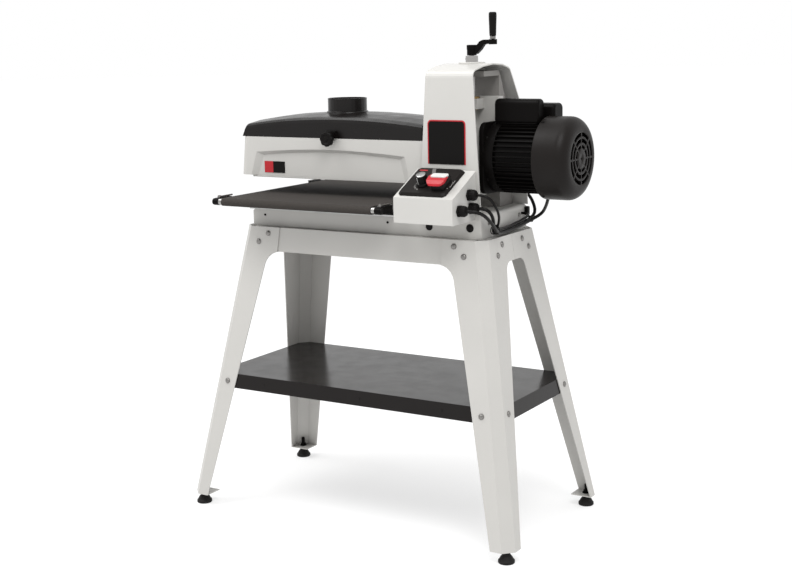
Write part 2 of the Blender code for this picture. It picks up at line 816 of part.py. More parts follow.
def tower(paint, grey, steel, black):
    """Column, cover, leadscrew and crank."""
    tower_column(grey)
    tower_cover(paint)
    leadscrew(steel)
    crank_arm(black)
    crank_grip(black)


# ---------------------------------------------------------------- drum head


def recess_outline(shrink_x, shrink_top):
    """Arched outline in (x, z) of the panel sunk into the head's front and rear."""
    left, right, low = -0.3930 + shrink_x, 0.1000 - shrink_x, HEAD_BOTTOM - 0.004
    shoulder = 0.9510 - shrink_top
    crown = [(-0.372 + shrink_x, shoulder)]
    width = 0.087 - shrink_x - crown[0][0]
    for i in range(1, 8):
        t = i / 8.0
        crown.append((crown[0][0] + width * t, shoulder + 0.011 * math.sin(math.pi * t)))
    crown.append((0.087 - shrink_x, shoulder))
    return [(left, low), *crown, (right, low)]


def head_recess(sign):
    """Tool that sinks one arched panel, with drafted walls."""
    outer = [Vector((x, sign * (HEAD_HALF_Y + 0.001), z)) for x, z in recess_outline(-0.002, -0.001)]
    inner = [Vector((x, sign * (HEAD_HALF_Y - 0.008), z)) for x, z in recess_outline(0.018, 0.008)]
    return loft([outer, inner])


def head_body():
    """The arm's outside: slanted left end with rounded upright edges."""
    rings = []
    for z, left in ((HEAD_BOTTOM, HEAD_LEFT), (HEAD_TOP, LID_LEFT - 0.001)):
        corner = 0.018
        outline = [
            *arc((left + corner, HEAD_HALF_Y - corner), corner, 90, 180, 4),
            *arc((left + corner, corner - HEAD_HALF_Y), corner, 180, 270, 4),
            (HEAD_RIGHT, -HEAD_HALF_Y),
            (HEAD_RIGHT, HEAD_HALF_Y),
        ]
        rings.append([Vector((x, y, z)) for x, y in outline])
    return loft(rings)


def knuckle(x, side):
    """Hinge knuckle from x on, reaching down to the head (side -1) or up to the cover (side 1)."""
    y, z = LID_HINGE
    eye = arc(LID_HINGE, 0.0060, side * 60, side * -180, 6)
    wall = HEAD_HALF_Y - 0.0020
    web = [(y - 0.0060, z + side * 0.0045), (wall, z + side * 0.0045), (wall, z + side * 0.0155)]
    return prism(eye + web, "X", x, x + 0.0300)


def head_casting(mat):
    """Cantilevered arm over the drum, with the saddle on the column and the cover's hinge pin."""
    tall = (HEAD_BOTTOM - 0.02, HEAD_TOP + 0.02)
    axle = (0.0, DRUM_Z)
    seat_r = BEARING_R + GAP
    saddle = [
        (0.1300, 0.8750),
        (SADDLE_RIGHT, 0.8750),
        (SADDLE_RIGHT, 1.0950),
        (0.1500, 1.0950),
        (0.1400, 1.0850),
        (0.1400, 0.9900),
        (0.1300, 0.9900),
    ]
    chamber = box((CHAMBER_LEFT, CHAMBER_RIGHT), (-CHAMBER_HALF_Y, CHAMBER_HALF_Y), tall)
    saddle_rear = SADDLE_Y[1] - 0.002
    motor_plate = box((SADDLE_RIGHT - 0.012, SADDLE_RIGHT), (-0.0760, saddle_rear), (0.8770, 1.0250))
    nut_bracket = box((0.2000, 0.2452), (-0.0200, saddle_rear), (1.0650, 1.0900))
    outboard_seat = cylinder("X", axle, seat_r, CHAMBER_LEFT - 0.014, CHAMBER_LEFT + 0.001, 24)
    inboard_bore = cylinder("X", axle, seat_r, CHAMBER_RIGHT - 0.005, HEAD_RIGHT + 0.001, 24)
    steps = [
        ("drum_chamber", chamber, "DIFFERENCE"),
        ("recess_front", head_recess(-1), "DIFFERENCE"),
        ("recess_rear", head_recess(1), "DIFFERENCE"),
        ("saddle", prism(saddle, "Y", *SADDLE_Y), "UNION"),
        ("motor_plate", motor_plate, "UNION"),
        ("nut_bracket", nut_bracket, "UNION"),
    ]
    for i, x in enumerate((-0.3300, 0.0400)):
        steps.append((f"head_knuckle_{i}", knuckle(x, -1), "UNION"))
    steps += [
        ("outboard_seat", outboard_seat, "DIFFERENCE"),
        ("inboard_bore", inboard_bore, "DIFFERENCE"),
        ("motor_bore", cylinder("X", axle, 0.0160, 0.2700, 0.2900, 16), "DIFFERENCE"),
        ("nut_bore", cylinder("Z", (CRANK_X, 0.0), 0.0143, 1.05, 1.11), "DIFFERENCE"),
        ("hinge_pin", cylinder("X", LID_HINGE, HINGE_PIN_R, -0.334, 0.074, 12), "UNION"),
    ]
    return carve(place("head_casting", head_body(), mat), steps)


def lead_nut(mat):
    """Bronze nut pressed into the head's bracket, flange on top."""
    profile = [
        (1.0620, SCREW_R + GAP),
        (1.0620, 0.0140),
        (1.0903, 0.0140),
        (1.0903, 0.0185),
        (1.0950, 0.0185),
        (1.0950, SCREW_R + GAP),
    ]
    return place("lead_nut", lathe(profile, "Z", (CRANK_X, 0.0), 16), mat)


def crowned_box(inset):
    """The cover's outside, or its inside when inset: the left end leans in, the top is crowned."""
    stations = 12
    low = LID_BOTTOM - (0.01 if inset else 0.0)
    half = LID_HALF_Y - inset
    rows = []
    for i in range(stations + 1):
        t = i / stations
        x_low = LID_LEFT + inset + (LID_RIGHT - LID_LEFT - 2 * inset) * t
        lean = LID_LEAN * max(0.0, 1.0 - 4.0 * t)
        top = LID_TOP - inset - LID_CROWN * (x_low - LID_CROWN_X) ** 2
        shape = [(-half, low), (-half, top - LID_ROUND)]
        for angle in (30, 60, 90):
            a = math.radians(angle)
            reach = half - LID_ROUND * (1.0 - math.cos(a))
            shape.append((-reach, top - LID_ROUND * (1.0 - math.sin(a))))
        shape += [(-0.045, top + 0.006), (0.0, top + 0.008), (0.045, top + 0.006)]
        shape += [(-y, z) for y, z in reversed(shape[:5])]
        rows.append([Vector((x_low + lean * (z - LID_BOTTOM), y, z)) for y, z in shape])
    bm = loft(rows)
    bmesh.ops.triangulate(bm, faces=bm.faces)
    return bm


def dust_cover(mat):
    """Hinged cover over the drum, with the dust port and the tongue for its knob."""
    knob_x, _, knob_z = LID_KNOB
    tongue_x = (knob_x - 0.016, knob_x + 0.016)
    tongue = box(tongue_x, (-0.1110, -0.1015), (LID_BOTTOM + 0.001, knob_z + 0.020))
    steps = [
        ("cover_hollow", crowned_box(LID_WALL), "DIFFERENCE"),
        ("port_outside", cylinder("Z", PORT, PORT_R, 1.0450, PORT_TOP, 32), "UNION"),
        ("port_inside", cylinder("Z", PORT, PORT_R - 0.003, 1.03, 1.10, 32), "DIFFERENCE"),
        ("tongue", tongue, "UNION"),
    ]
    for i, x in enumerate((-0.2950, 0.0050)):
        steps.append((f"cover_knuckle_{i}", knuckle(x, 1), "UNION"))
    pin_bore = cylinder("X", LID_HINGE, HINGE_PIN_R + GAP, -0.40, 0.12, 12)
    steps.append(("cover_pin_bore", pin_bore, "DIFFERENCE"))
    return carve(place("dust_cover", crowned_box(0.0), mat, (PORT[0], *LID_HINGE)), steps)


def lid_knob(mat):
    """Round clamp knob in front of the cover's tongue."""
    x, y, z = LID_KNOB
    profile = [
        (-0.1320, 0.0),
        (-0.1320, 0.0165),
        (-0.1295, 0.0195),
        (-0.1190, 0.0195),
        (-0.1170, 0.0090),
        (-0.1114, 0.0090),
        (-0.1114, 0.0),
    ]
    return place("cover_knob", lathe(profile, "Y", (x, z + 0.001), 24), mat, (x, y, z + 0.001))


def drum(mat):
    """Hollow sanding drum on two webs; the webs' holes open the inside."""
    left, right = belt_side(-1), belt_side(1)
    axle = (0.0, DRUM_Z)
    rim = DRUM_R - 0.0050
    steps = []
    for i, start in enumerate((left + 0.020, right - 0.030)):
        web = tube("X", axle, rim + 0.002, SHAFT_R + GAP, start, start + 0.010, DRUM_SIDES)
        steps.append((f"drum_web_{i}", web, "UNION"))
    for i in range(4):
        angle = math.radians(45 + 90 * i)
        centre = (0.036 * math.cos(angle), DRUM_Z + 0.036 * math.sin(angle))
        hole = cylinder("X", centre, 0.0110, left - 0.01, right + 0.01, 8)
        steps.append((f"drum_hole_{i}", hole, "DIFFERENCE"))
    skin = tube("X", axle, DRUM_R, rim, left, right, DRUM_SIDES)
    return carve(place("drum", skin, mat, (BELT_X, 0.0, DRUM_Z)), steps)


def abrasive(mat):
    """The strip wound round the drum, as one sleeve."""
    inner = DRUM_R + GAP
    ends = (belt_side(-1) + 0.002, belt_side(1) - 0.002)
    sleeve = tube("X", (0.0, DRUM_Z), inner + ABRASIVE, inner, *ends, DRUM_SIDES)
    return place("abrasive_strip", sleeve, mat, (BELT_X, 0.0, DRUM_Z))


def drum_shaft(mat):
    """Shaft through the drum, from the outboard bearing to the coupling."""
    profile = [
        (CHAMBER_LEFT - 0.0130, 0.0),
        (CHAMBER_LEFT - 0.0130, 0.0095),
        (CHAMBER_LEFT + 0.0010, 0.0095),
        (CHAMBER_LEFT + 0.0010, SHAFT_R),
        (0.1135, SHAFT_R),
        (0.1135, 0.0115),
        (0.1850, 0.0115),
        (0.1850, 0.0),
    ]
    return place("drum_shaft", lathe(profile, "X", (0.0, DRUM_Z), 20), mat, (BELT_X, 0.0, DRUM_Z))


def bearing(name, start, width, bore, mat):
    """Ball bearing as one turned ring."""
    ring = tube("X", (0.0, DRUM_Z), BEARING_R, bore, start, start + width)
    return place(name, ring, mat)


def pressure_roller(name, sign, steel):
    """Spring-loaded hold-down roller beside the drum."""
    left, right = -0.3850, 0.0850
    profile = [
        (left - 0.008, 0.0),
        (left - 0.008, 0.0040),
        (left, 0.0040),
        (left, PRESSURE_R),
        (right, PRESSURE_R),
        (right, 0.0040),
        (right + 0.008, 0.0040),
        (right + 0.008, 0.0),
    ]
    centre = (sign * PRESSURE_Y, PRESSURE_Z)
    return place(name, lathe(profile, "X", centre, 20), steel, (BELT_X, *centre))


def pressure_carrier(name, sign, mat):
    """Bar over the roller with an arm down at each end."""
    near, far = sorted((sign * 0.0682, sign * 0.0872))
    bar = [
        (-0.3990, 0.8880),
        (-0.3880, 0.8880),
        (-0.3880, 0.9120),
        (0.0880, 0.9120),
        (0.0880, 0.8880),
        (0.0990, 0.8880),
        (0.0990, 0.9180),
        (-0.3990, 0.9180),
    ]
    origin = (BELT_X, sign * PRESSURE_Y, PRESSURE_Z)
    obj = place(name, prism(bar, "Y", near, far), mat, origin, smooth=False)
    bore = cylinder("X", (sign * PRESSURE_Y, PRESSURE_Z), 0.0043, -0.3935, 0.0935, 16)
    return boolean(obj, cutter(name + "_bore", bore))


def head(paint, cover, steel, black, aluminium, bronze, grit):
    """Everything that rises and falls with the drum, except the motor."""
    head_casting(paint)
    lead_nut(bronze)
    dust_cover(cover)
    lid_knob(black)
    drum(aluminium)
    abrasive(grit)
    drum_shaft(steel)
    bearing("outboard_bearing", CHAMBER_LEFT - 0.0135, 0.0130, 0.0098, steel)
    bearing("inboard_bearing", CHAMBER_RIGHT + 0.0040, 0.0140, 0.0118, steel)
    for name, sign in (("infeed", -1), ("outfeed", 1)):
        pressure_roller(f"{name}_roller", sign, steel)
        pressure_carrier(f"{name}_roller_carrier", sign, black)


# ---------------------------------------------------------------- motor


def motor_body(mat):
    """Motor frame with an end bell at each end, hollow round the rotor."""
    bell_left, bell_right = MOTOR_LEFT + 0.022, MOTOR_RIGHT - 0.012
    profile = [
        (MOTOR_LEFT, 0.0110),
        (MOTOR_LEFT, MOTOR_R - 0.0040),
        (MOTOR_LEFT + 0.0040, MOTOR_R),
        (bell_right, MOTOR_R),
        (MOTOR_RIGHT, MOTOR_R - 0.010),
        (MOTOR_RIGHT, 0.0110),
        (bell_right, 0.0110),
        (bell_right, 0.0560),
        (bell_left, 0.0560),
        (bell_left, 0.0110),
    ]
    return place("motor_body", lathe(profile, "X", (0.0, DRUM_Z), 32), mat)


def motor_rotor(mat):
    """Rotor and shaft, with the coupling sleeve that is pinned over the drum shaft's end."""
    core_left, core_right = MOTOR_LEFT + 0.032, MOTOR_RIGHT - 0.022
    profile = [
        (0.1650, 0.0118),
        (0.1650, 0.0175),
        (0.2100, 0.0175),
        (0.2100, 0.0095),
        (core_left, 0.0095),
        (core_left, 0.0520),
        (core_right, 0.0520),
        (core_right, 0.0095),
        (0.4700, 0.0095),
        (0.4700, 0.0),
        (0.1856, 0.0),
        (0.1856, 0.0118),
    ]
    return place("motor_rotor", lathe(profile, "X", (0.0, DRUM_Z), 24), mat, (BELT_X, 0.0, DRUM_Z))


def cooling_fan(mat):
    """Fan disc with radial blades inside the fan cover."""
    disc = tube("X", (0.0, DRUM_Z), 0.0720, 0.0098, 0.4480, 0.4510, 20)
    steps = [("fan_hub", tube("X", (0.0, DRUM_Z), 0.0180, 0.0098, 0.4460, 0.4680, 20), "UNION")]
    for i in range(6):
        blade = box((0.4500, 0.4700), (-0.0010, 0.0010), (0.0280, 0.0800))
        spin = Matrix.Rotation(2.0 * math.pi * (i + 0.5) / 6, 4, "X")
        bmesh.ops.transform(blade, matrix=Matrix.Translation((0, 0, DRUM_Z)) @ spin, verts=blade.verts)
        steps.append((f"fan_blade_{i}", blade, "UNION"))
    return carve(place("cooling_fan", disc, mat, (BELT_X, 0.0, DRUM_Z)), steps)


def fan_cover(mat):
    """Deep drawn cowl over the fan, open towards the motor."""
    right, wall = HALF_LENGTH, 0.0020
    radius = 0.030
    outer = arc((right - radius, FAN_COVER_R - radius), radius, 90, 0, 5)
    inner_radius = radius - wall
    bend = arc((right - radius, FAN_COVER_R - radius), inner_radius, 0, 90, 5)
    profile = [
        (FAN_COVER_LEFT, FAN_COVER_R),
        *outer,
        (right, 0.0030),
        (right - wall, 0.0030),
        *bend,
        (FAN_COVER_LEFT, FAN_COVER_R - wall),
    ]
    return place("fan_cover", lathe(profile, "X", (0.0, DRUM_Z), 40), mat)


def capacitor_cover(name, x, y, z, mat):
    """Rounded box on the motor's back that covers a capacitor."""
    outline = rounded(y, z, 0.014, 4)
    obj = place(name, prism(outline, "X", x[0], x[1]), mat)
    step = obj.modifiers.new("rounding", "BEVEL")
    step.width = 0.006
    step.segments = 2
    step.limit_method = "ANGLE"
    step.angle_limit = math.radians(60)
    axle = (0.0, DRUM_Z)
    seat = cylinder("X", axle, MOTOR_R + GAP, 0.25, FAN_COVER_LEFT - GAP, 40)
    boolean(obj, cutter(name + "_seat", seat))
    rim = cylinder("X", axle, FAN_COVER_R + GAP, FAN_COVER_LEFT - 0.001, 0.55, 48)
    return boolean(obj, cutter(name + "_rim", rim))


def motor(black, cowl, steel):
    """Motor, its shaft and fan, the cowl and two capacitor covers."""
    motor_body(black)
    motor_rotor(steel)
    cooling_fan(black)
    fan_cover(cowl)
    start = ((0.3010, 0.4200), (-0.0360, 0.0010), (1.0150, 1.0920))
    capacitor_cover("start_capacitor_cover", *start, black)
    run = ((0.3500, 0.4420), (0.0080, 0.0620), (1.0150, 1.0795))
    capacitor_cover("run_capacitor_cover", *run, black)


# ---------------------------------------------------------------- control box


def slope_point(x, along, lift):
    """A point on the sloping panel: distance up the slope from its lower lip, and height off it."""
    y = BOX_FRONT + along * math.cos(SLOPE) - lift * math.sin(SLOPE)
    z = BOX_LIP + along * math.sin(SLOPE) + lift * math.cos(SLOPE)
    return Vector((x, y, z))


def slope_frame(x, along):
    """Matrix whose +Z is the panel's normal at a point on the slope."""
    return Matrix.Translation(slope_point(x, along, 0.0)) @ Matrix.Rotation(SLOPE, 4, "X")


def on_slope(bm, x, along):
    """Move geometry drawn round the origin onto the slope."""
    bmesh.ops.transform(bm, matrix=slope_frame(x, along), verts=bm.verts)
    return bm


def box_outline(wall):
    """Side outline in (y, z) of the control box, or of its hollow when wall is set."""
    deep = -BOX_BACK + BOX_FRONT
    top = BOX_LIP - deep * math.tan(SLOPE)
    slant = wall / math.cos(SLOPE)
    step_y = BASE_FRONT - GAP
    back = BOX_BACK + (0.02 if wall else 0.0)
    if wall:
        return [
            (BOX_FRONT + wall, BOX_BOTTOM + wall),
            (back, BOX_BOTTOM + wall),
            (back, top - slant + 0.02 * math.tan(SLOPE)),
            (BOX_FRONT + wall, BOX_LIP - slant + wall * math.tan(SLOPE)),
        ]
    return [
        (BOX_FRONT, BOX_BOTTOM),
        (step_y, BOX_BOTTOM),
        (step_y, BASE_TOP + 0.0010),
        (back, BASE_TOP + 0.0010),
        (back, top),
        (BOX_FRONT, BOX_LIP),
    ]


def knob_hole():
    """Tool for the hole that the speed knob's spindle turns in."""
    return on_slope(cylinder("Z", (0.0, 0.0), KNOB_HOLE_R, -0.012, 0.012, 16), KNOB_X, KNOB_ALONG)


def control_box(mat):
    """Enclosure on the tower's foot, open at the back where it meets the tower."""
    obj = place("control_box", prism(box_outline(0.0), "X", *BOX_X), mat)
    wall = 0.003
    hollow = prism(box_outline(wall), "X", BOX_X[0] + wall, BOX_X[1] - wall)
    boolean(obj, cutter("box_hollow", hollow))
    for name, y, z in GLANDS:
        hole = cylinder("X", (y, z), 0.0078, BOX_X[1] - 0.010, BOX_X[1] + 0.010, 16)
        boolean(obj, cutter(name + "_hole", hole))
    return boolean(obj, cutter("knob_hole", knob_hole()))


def panel_outline(inset):
    """The panel's outline with cut corners, drawn inwards by an inset."""
    half, low, high, cut = 0.0650 - inset, 0.0080 + inset, 0.1270 - inset, 0.0070
    return [
        (-half + cut, low),
        (half - cut, low),
        (half, low + cut),
        (half, high - cut),
        (half - cut, high),
        (-half + cut, high),
        (-half, high - cut),
        (-half, low + cut),
    ]


def control_panel(mat):
    """Raised plate with slanted sides and cut corners, screwed on the slope."""
    levels = ((0.0, GAP), (0.0, 0.0020), (0.0040, PANEL_TOP))
    rings = [[Vector((x, y, z)) for x, y in panel_outline(inset)] for inset, z in levels]
    obj = place("control_panel", on_slope(loft(rings), 0.2015, 0.0), mat, smooth=False)
    return boolean(obj, cutter("panel_knob_hole", knob_hole()))


def speed_knob(mat):
    """Feed-speed knob on its short spindle."""
    foot = PANEL_TOP + 0.0008
    profile = [
        (-0.0060, 0.0),
        (-0.0060, 0.0040),
        (foot, 0.0040),
        (foot, 0.0140),
        (0.0110, 0.0140),
        (0.0125, 0.0132),
        (0.0340, 0.0128),
        (0.0365, 0.0120),
        (0.0380, 0.0095),
        (0.0380, 0.0),
    ]
    knob = on_slope(lathe(profile, "Z", (0.0, 0.0), 24), KNOB_X, KNOB_ALONG)
    return place("speed_knob", knob, mat, slope_point(KNOB_X, KNOB_ALONG, foot))


def switch(black, red):
    """Safety switch: housing with a pivot block, and the wide paddle that covers it."""
    half_x, half_y, top = 0.0170, 0.0245, 0.0230
    hinge_y, hinge_z = PADDLE_HINGE
    housing = prism(rounded((-half_x, half_x), (-half_y, half_y), 0.004), "Z", PANEL_TOP + GAP, top)
    obj = place("switch_housing", on_slope(housing, SWITCH_X, SWITCH_ALONG), black)
    pivot = box((-0.0060, 0.0060), (hinge_y - 0.0040, hinge_y + 0.0040), (top - 0.001, hinge_z - 0.0038))
    boolean(obj, cutter("switch_pivot", on_slope(pivot, SWITCH_X, SWITCH_ALONG)), "UNION")
    side = [
        (-0.0295, 0.0245),
        (-0.0280, 0.0235),
        (-0.0010, 0.0285),
        (hinge_y, hinge_z - 0.0025),
        (0.0165, 0.0265),
        (0.0165, 0.0300),
        (hinge_y, 0.0325),
        (-0.0010, 0.0345),
        (-0.0150, 0.0325),
        (-0.0260, 0.0285),
    ]
    across = (-0.0280, 0.0210)
    obj = place(
        "switch_paddle",
        on_slope(prism(side, "X", *across), SWITCH_X, SWITCH_ALONG),
        red,
        slope_point(SWITCH_X, SWITCH_ALONG + hinge_y, hinge_z),
    )
    plan = prism(rounded(across, (-0.0295, 0.0165), 0.0180, 6), "Z", 0.015, 0.045)
    return boolean(obj, cutter("paddle_plan", on_slope(plan, SWITCH_X, SWITCH_ALONG)), "INTERSECT")


def gland(name, y, z, mat):
    """Cable gland through the box's right side, with the lead's hole along it."""
    face = BOX_X[1]
    bore = CORD_R + GAP if name != "gland_top" else LEAD_R + GAP
    profile = [
        (face - 0.0100, bore),
        (face - 0.0100, 0.0095),
        (face - 0.0034, 0.0095),
        (face - 0.0034, 0.0074),
        (face + 0.0004, 0.0074),
        (face + 0.0004, 0.0110),
        (face + 0.0070, 0.0110),
        (face + 0.0075, 0.0100),
        (face + 0.0210, 0.0095),
        (face + 0.0240, bore + 0.0020),
        (face + 0.0240, bore),
    ]
    return place(name, lathe(profile, "X", (y, z), 14), mat)


def controls(paint, panel, black, red):
    """Box, panel, knob, switch and glands."""
    control_box(paint)
    control_panel(panel)
    speed_knob(black)
    switch(black, red)
    for name, y, z in GLANDS:
        gland(name, y, z, black)


# ---------------------------------------------------------------- leads and cord


def smooth_route(points, spacing):
    """Read evenly spaced points from a Catmull-Rom curve through the route's own points."""
    spots = [Vector(p) for p in points]
    spots = [2 * spots[0] - spots[1], *spots, 2 * spots[-1] - spots[-2]]
    fine = []
    for a, b, c, d in zip(spots, spots[1:], spots[2:], spots[3:]):
        for i in range(24):
            t = i / 24.0
            curve = 2 * b + (c - a) * t + (2 * a - 5 * b + 4 * c - d) * t**2
            fine.append(0.5 * (curve + (3 * b - a - 3 * c + d) * t**3))
    fine.append(spots[-2])
    length = sum((q - p).length for p, q in zip(fine, fine[1:]))
    count = max(2, round(length / spacing))
    route, walked, target = [fine[0]], 0.0, length / count
    for p, q in zip(fine, fine[1:]):
        step = (q - p).length
        while walked + step >= target and len(route) < count:
            route.append(p.lerp(q, (target - walked) / step))
            target += length / count
        walked += step
    return [*route, fine[-1]]


def cord(name, points, radius, spacing, resolution, mat):
    """A cord as a bevelled poly curve with filled ends."""
    curve = bpy.data.curves.new(name, "CURVE")
    curve.dimensions = "3D"
    curve.bevel_depth = radius
    curve.bevel_resolution = resolution
    curve.use_fill_caps = True
    route = smooth_route(points, spacing)
    line = curve.splines.new("POLY")
    line.points.add(len(route) - 1)
    for point, spot in zip(line.points, route):
        point.co = (*spot, 1.0)
    curve.materials.append(mat)
    obj = bpy.data.objects.new(name, curve)
    bpy.context.scene.collection.objects.link(obj)
    return obj


def power_coil(mat):
    """The wound part of the power cord as one turned ring."""
    inner, outer = COIL_R - 2 * CORD_R, COIL_R + 2 * CORD_R
    low, high = COIL_BOTTOM, COIL_BOTTOM + 4 * CORD_R
    edge = 0.6 * CORD_R
    profile = [
        (low, inner + edge),
        (low, outer - edge),
        (low + edge, outer),
        (high - edge, outer),
        (high, outer - edge),
        (high, inner + edge),
        (high - edge, inner),
        (low + edge, inner),
    ]
    return place("power_cord_coil", lathe(profile, "Z", COIL_CENTRE, 32), mat)


def power_plug(mat):
    """Moulded plug lying beside the coil, with the last of the cord, two blades and a pin."""
    profile = [
        (0.0, 0.0),
        (0.0, CORD_R),
        (0.0120, CORD_R),
        (0.0125, 0.0060),
        (0.0330, 0.0075),
        (0.0380, PLUG_R - 0.001),
        (0.0420, PLUG_R),
        (0.0640, PLUG_R),
        (0.0660, PLUG_R - 0.001),
        (0.0660, 0.0),
    ]
    steps = [
        ("blade_left", box((-0.0070, -0.0055), (-0.0020, 0.0042), (0.0650, 0.0830)), "UNION"),
        ("blade_right", box((0.0055, 0.0070), (-0.0020, 0.0042), (0.0650, 0.0830)), "UNION"),
        ("earth_pin", cylinder("Z", (0.0, -0.0070), 0.0022, 0.0650, 0.0850, 10), "UNION"),
    ]
    lay = Matrix.Rotation(PLUG_HEADING, 4, "Z") @ Matrix.Rotation(math.radians(90), 4, "Y")
    frame = Matrix.Translation(PLUG_START) @ lay
    body = lathe(profile, "Z", (0.0, 0.0), 16)
    for _, shape, _ in (("", body, ""), *steps):
        bmesh.ops.transform(shape, matrix=frame, verts=shape.verts)
    return carve(place("power_plug", body, mat), steps)


def leads(mat):
    """Motor lead, conveyor drive's lead, and the power cord with its coil and plug."""
    cord("motor_lead", MOTOR_ROUTE, CORD_R, 0.011, 2, mat)
    cord("drive_lead", DRIVE_ROUTE, LEAD_R, 0.009, 2, mat)
    cord("power_cord", POWER_ROUTE, CORD_R, 0.018, 2, mat)
    power_coil(mat)
    power_plug(mat)


def main():
    clear_scene()
    paint = material("warm white paint", (0.78, 0.77, 0.73), 0.45)
    bright = material("white paint", (0.86, 0.86, 0.84), 0.35)
    grey = material("grey casting", (0.42, 0.41, 0.39), 0.6)
    dark = material("black sheet", (0.03, 0.026, 0.025), 0.35)
    cover = material("satin black cover", (0.035, 0.03, 0.028), 0.3)
    black = material("black plastic", (0.018, 0.018, 0.018), 0.45)
    cowl = material("dark grey cowl", (0.05, 0.047, 0.045), 0.5)
    panel = material("grey panel", (0.075, 0.073, 0.07), 0.5)
    rubber = material("black rubber", (0.015, 0.015, 0.015), 0.8)
    belt = material("abrasive cloth", (0.06, 0.052, 0.047), 0.9)
    steel = material("steel", (0.6, 0.6, 0.6), 0.3, 1.0)
    chrome = material("chrome", (0.75, 0.75, 0.75), 0.12, 1.0)
    aluminium = material("aluminium", (0.7, 0.7, 0.7), 0.4, 1.0)
    bronze = material("bronze", (0.55, 0.38, 0.16), 0.35, 1.0)
    red = material("red plastic", (0.62, 0.02, 0.03), 0.35)
    stand(paint, dark, rubber)
    machine_base(paint)
    conveyor(grey, belt, chrome, black)
    tower(bright, grey, steel, black)
    head(paint, cover, steel, black, aluminium, bronze, belt)
    motor(black, cowl, steel)
    controls(bright, panel, black, red)
    leads(black)


main()
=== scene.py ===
"""Looks of the open-ended drum thickness sander: materials, detailed pieces, light and camera.

Units are metres in the row frame: +X towards the motor, +Y to the outfeed side, +Z up.
"""

import math

import bmesh
import bpy
from mathutils import Matrix, Vector


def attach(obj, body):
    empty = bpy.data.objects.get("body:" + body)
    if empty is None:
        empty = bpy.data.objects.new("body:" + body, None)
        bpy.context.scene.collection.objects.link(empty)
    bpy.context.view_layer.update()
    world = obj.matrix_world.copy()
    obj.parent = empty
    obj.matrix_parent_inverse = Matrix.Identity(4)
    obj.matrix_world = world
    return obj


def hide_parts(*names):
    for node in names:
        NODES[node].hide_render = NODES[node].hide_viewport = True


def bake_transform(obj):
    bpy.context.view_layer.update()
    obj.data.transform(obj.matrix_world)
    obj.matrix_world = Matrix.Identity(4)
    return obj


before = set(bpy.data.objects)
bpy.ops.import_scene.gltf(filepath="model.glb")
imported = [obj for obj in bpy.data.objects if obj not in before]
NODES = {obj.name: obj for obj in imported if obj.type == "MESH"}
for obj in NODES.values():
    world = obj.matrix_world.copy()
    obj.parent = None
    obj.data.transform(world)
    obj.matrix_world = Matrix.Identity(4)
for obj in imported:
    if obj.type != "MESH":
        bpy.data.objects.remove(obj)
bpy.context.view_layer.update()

# Places and sizes shared with the CAD.
STAND_X = -0.033
STAND_TOP = 0.758
LEG_BOTTOM = 0.030
LEG_SPREAD_TOP = (0.3608, 0.1174)
LEG_SPREAD_BOTTOM = (0.488, 0.235)
LEG_CORNER = 0.025
LEG_LEAN_X, LEG_LEAN_Y = 0.1747, 0.1615
SHELF_TOP = 0.365
LIE_GAP = 0.0003
BASE_FRONT = -0.119
TOWER_FRONT = -0.112
GLAND_END = 0.3150
BOX_RIGHT = 0.2910
BOX_FRONT = -0.230
BOX_LIP = 0.8665
SLOPE = math.radians(26.0)
PANEL_TOP = 0.0080
KNOB_X, KNOB_ALONG = 0.1905, 0.0480
SWITCH_X, SWITCH_ALONG = 0.2405, 0.0480
COWL_LEFT = 0.4305
COWL_RIGHT = 0.5162
COWL_R = 0.1004
LID_KNOB = (-0.131, -0.122, 0.991)
PORT = (-0.151, 0.005)
ROLLER_Y = 0.2365
ROLLER_Z = 0.8317
BRACKET_FACE = 0.2395
FOOT_X, FOOT_Y = 0.4627, 0.2348
CRANK_X = 0.2226
BELT_X = -0.1565
DRUM_Z = 0.950
MOTOR_R = 0.0885
CORD_R = 0.0042
LEAD_R = 0.0032

# Motor fins: how many, and each one's outline as (share of the step from its middle, radius).
FINS = 42
FIN_SHAPE = (
    (-0.30, 0.0790), (-0.11, 0.0800), (-0.075, MOTOR_R), (0.075, MOTOR_R), (0.11, 0.0800),
    (0.30, 0.0790),
)

# The cowl's flat end: radii of its rings, cells round it and to a slot, and each ring of slots
# as (inner radius, outer radius, cells left for half a spoke).
COWL_RINGS = (
    0.0665, 0.0625, 0.0578, 0.0530, 0.0480, 0.0433, 0.0385, 0.0325, 0.0285, 0.0245, 0.0150, 0.0032
)
COWL_CELLS = 160
SLOT_CELLS = 20
COWL_SLOTS = ((0.0530, 0.0625, 1), (0.0385, 0.0480, 1), (0.0245, 0.0325, 2))

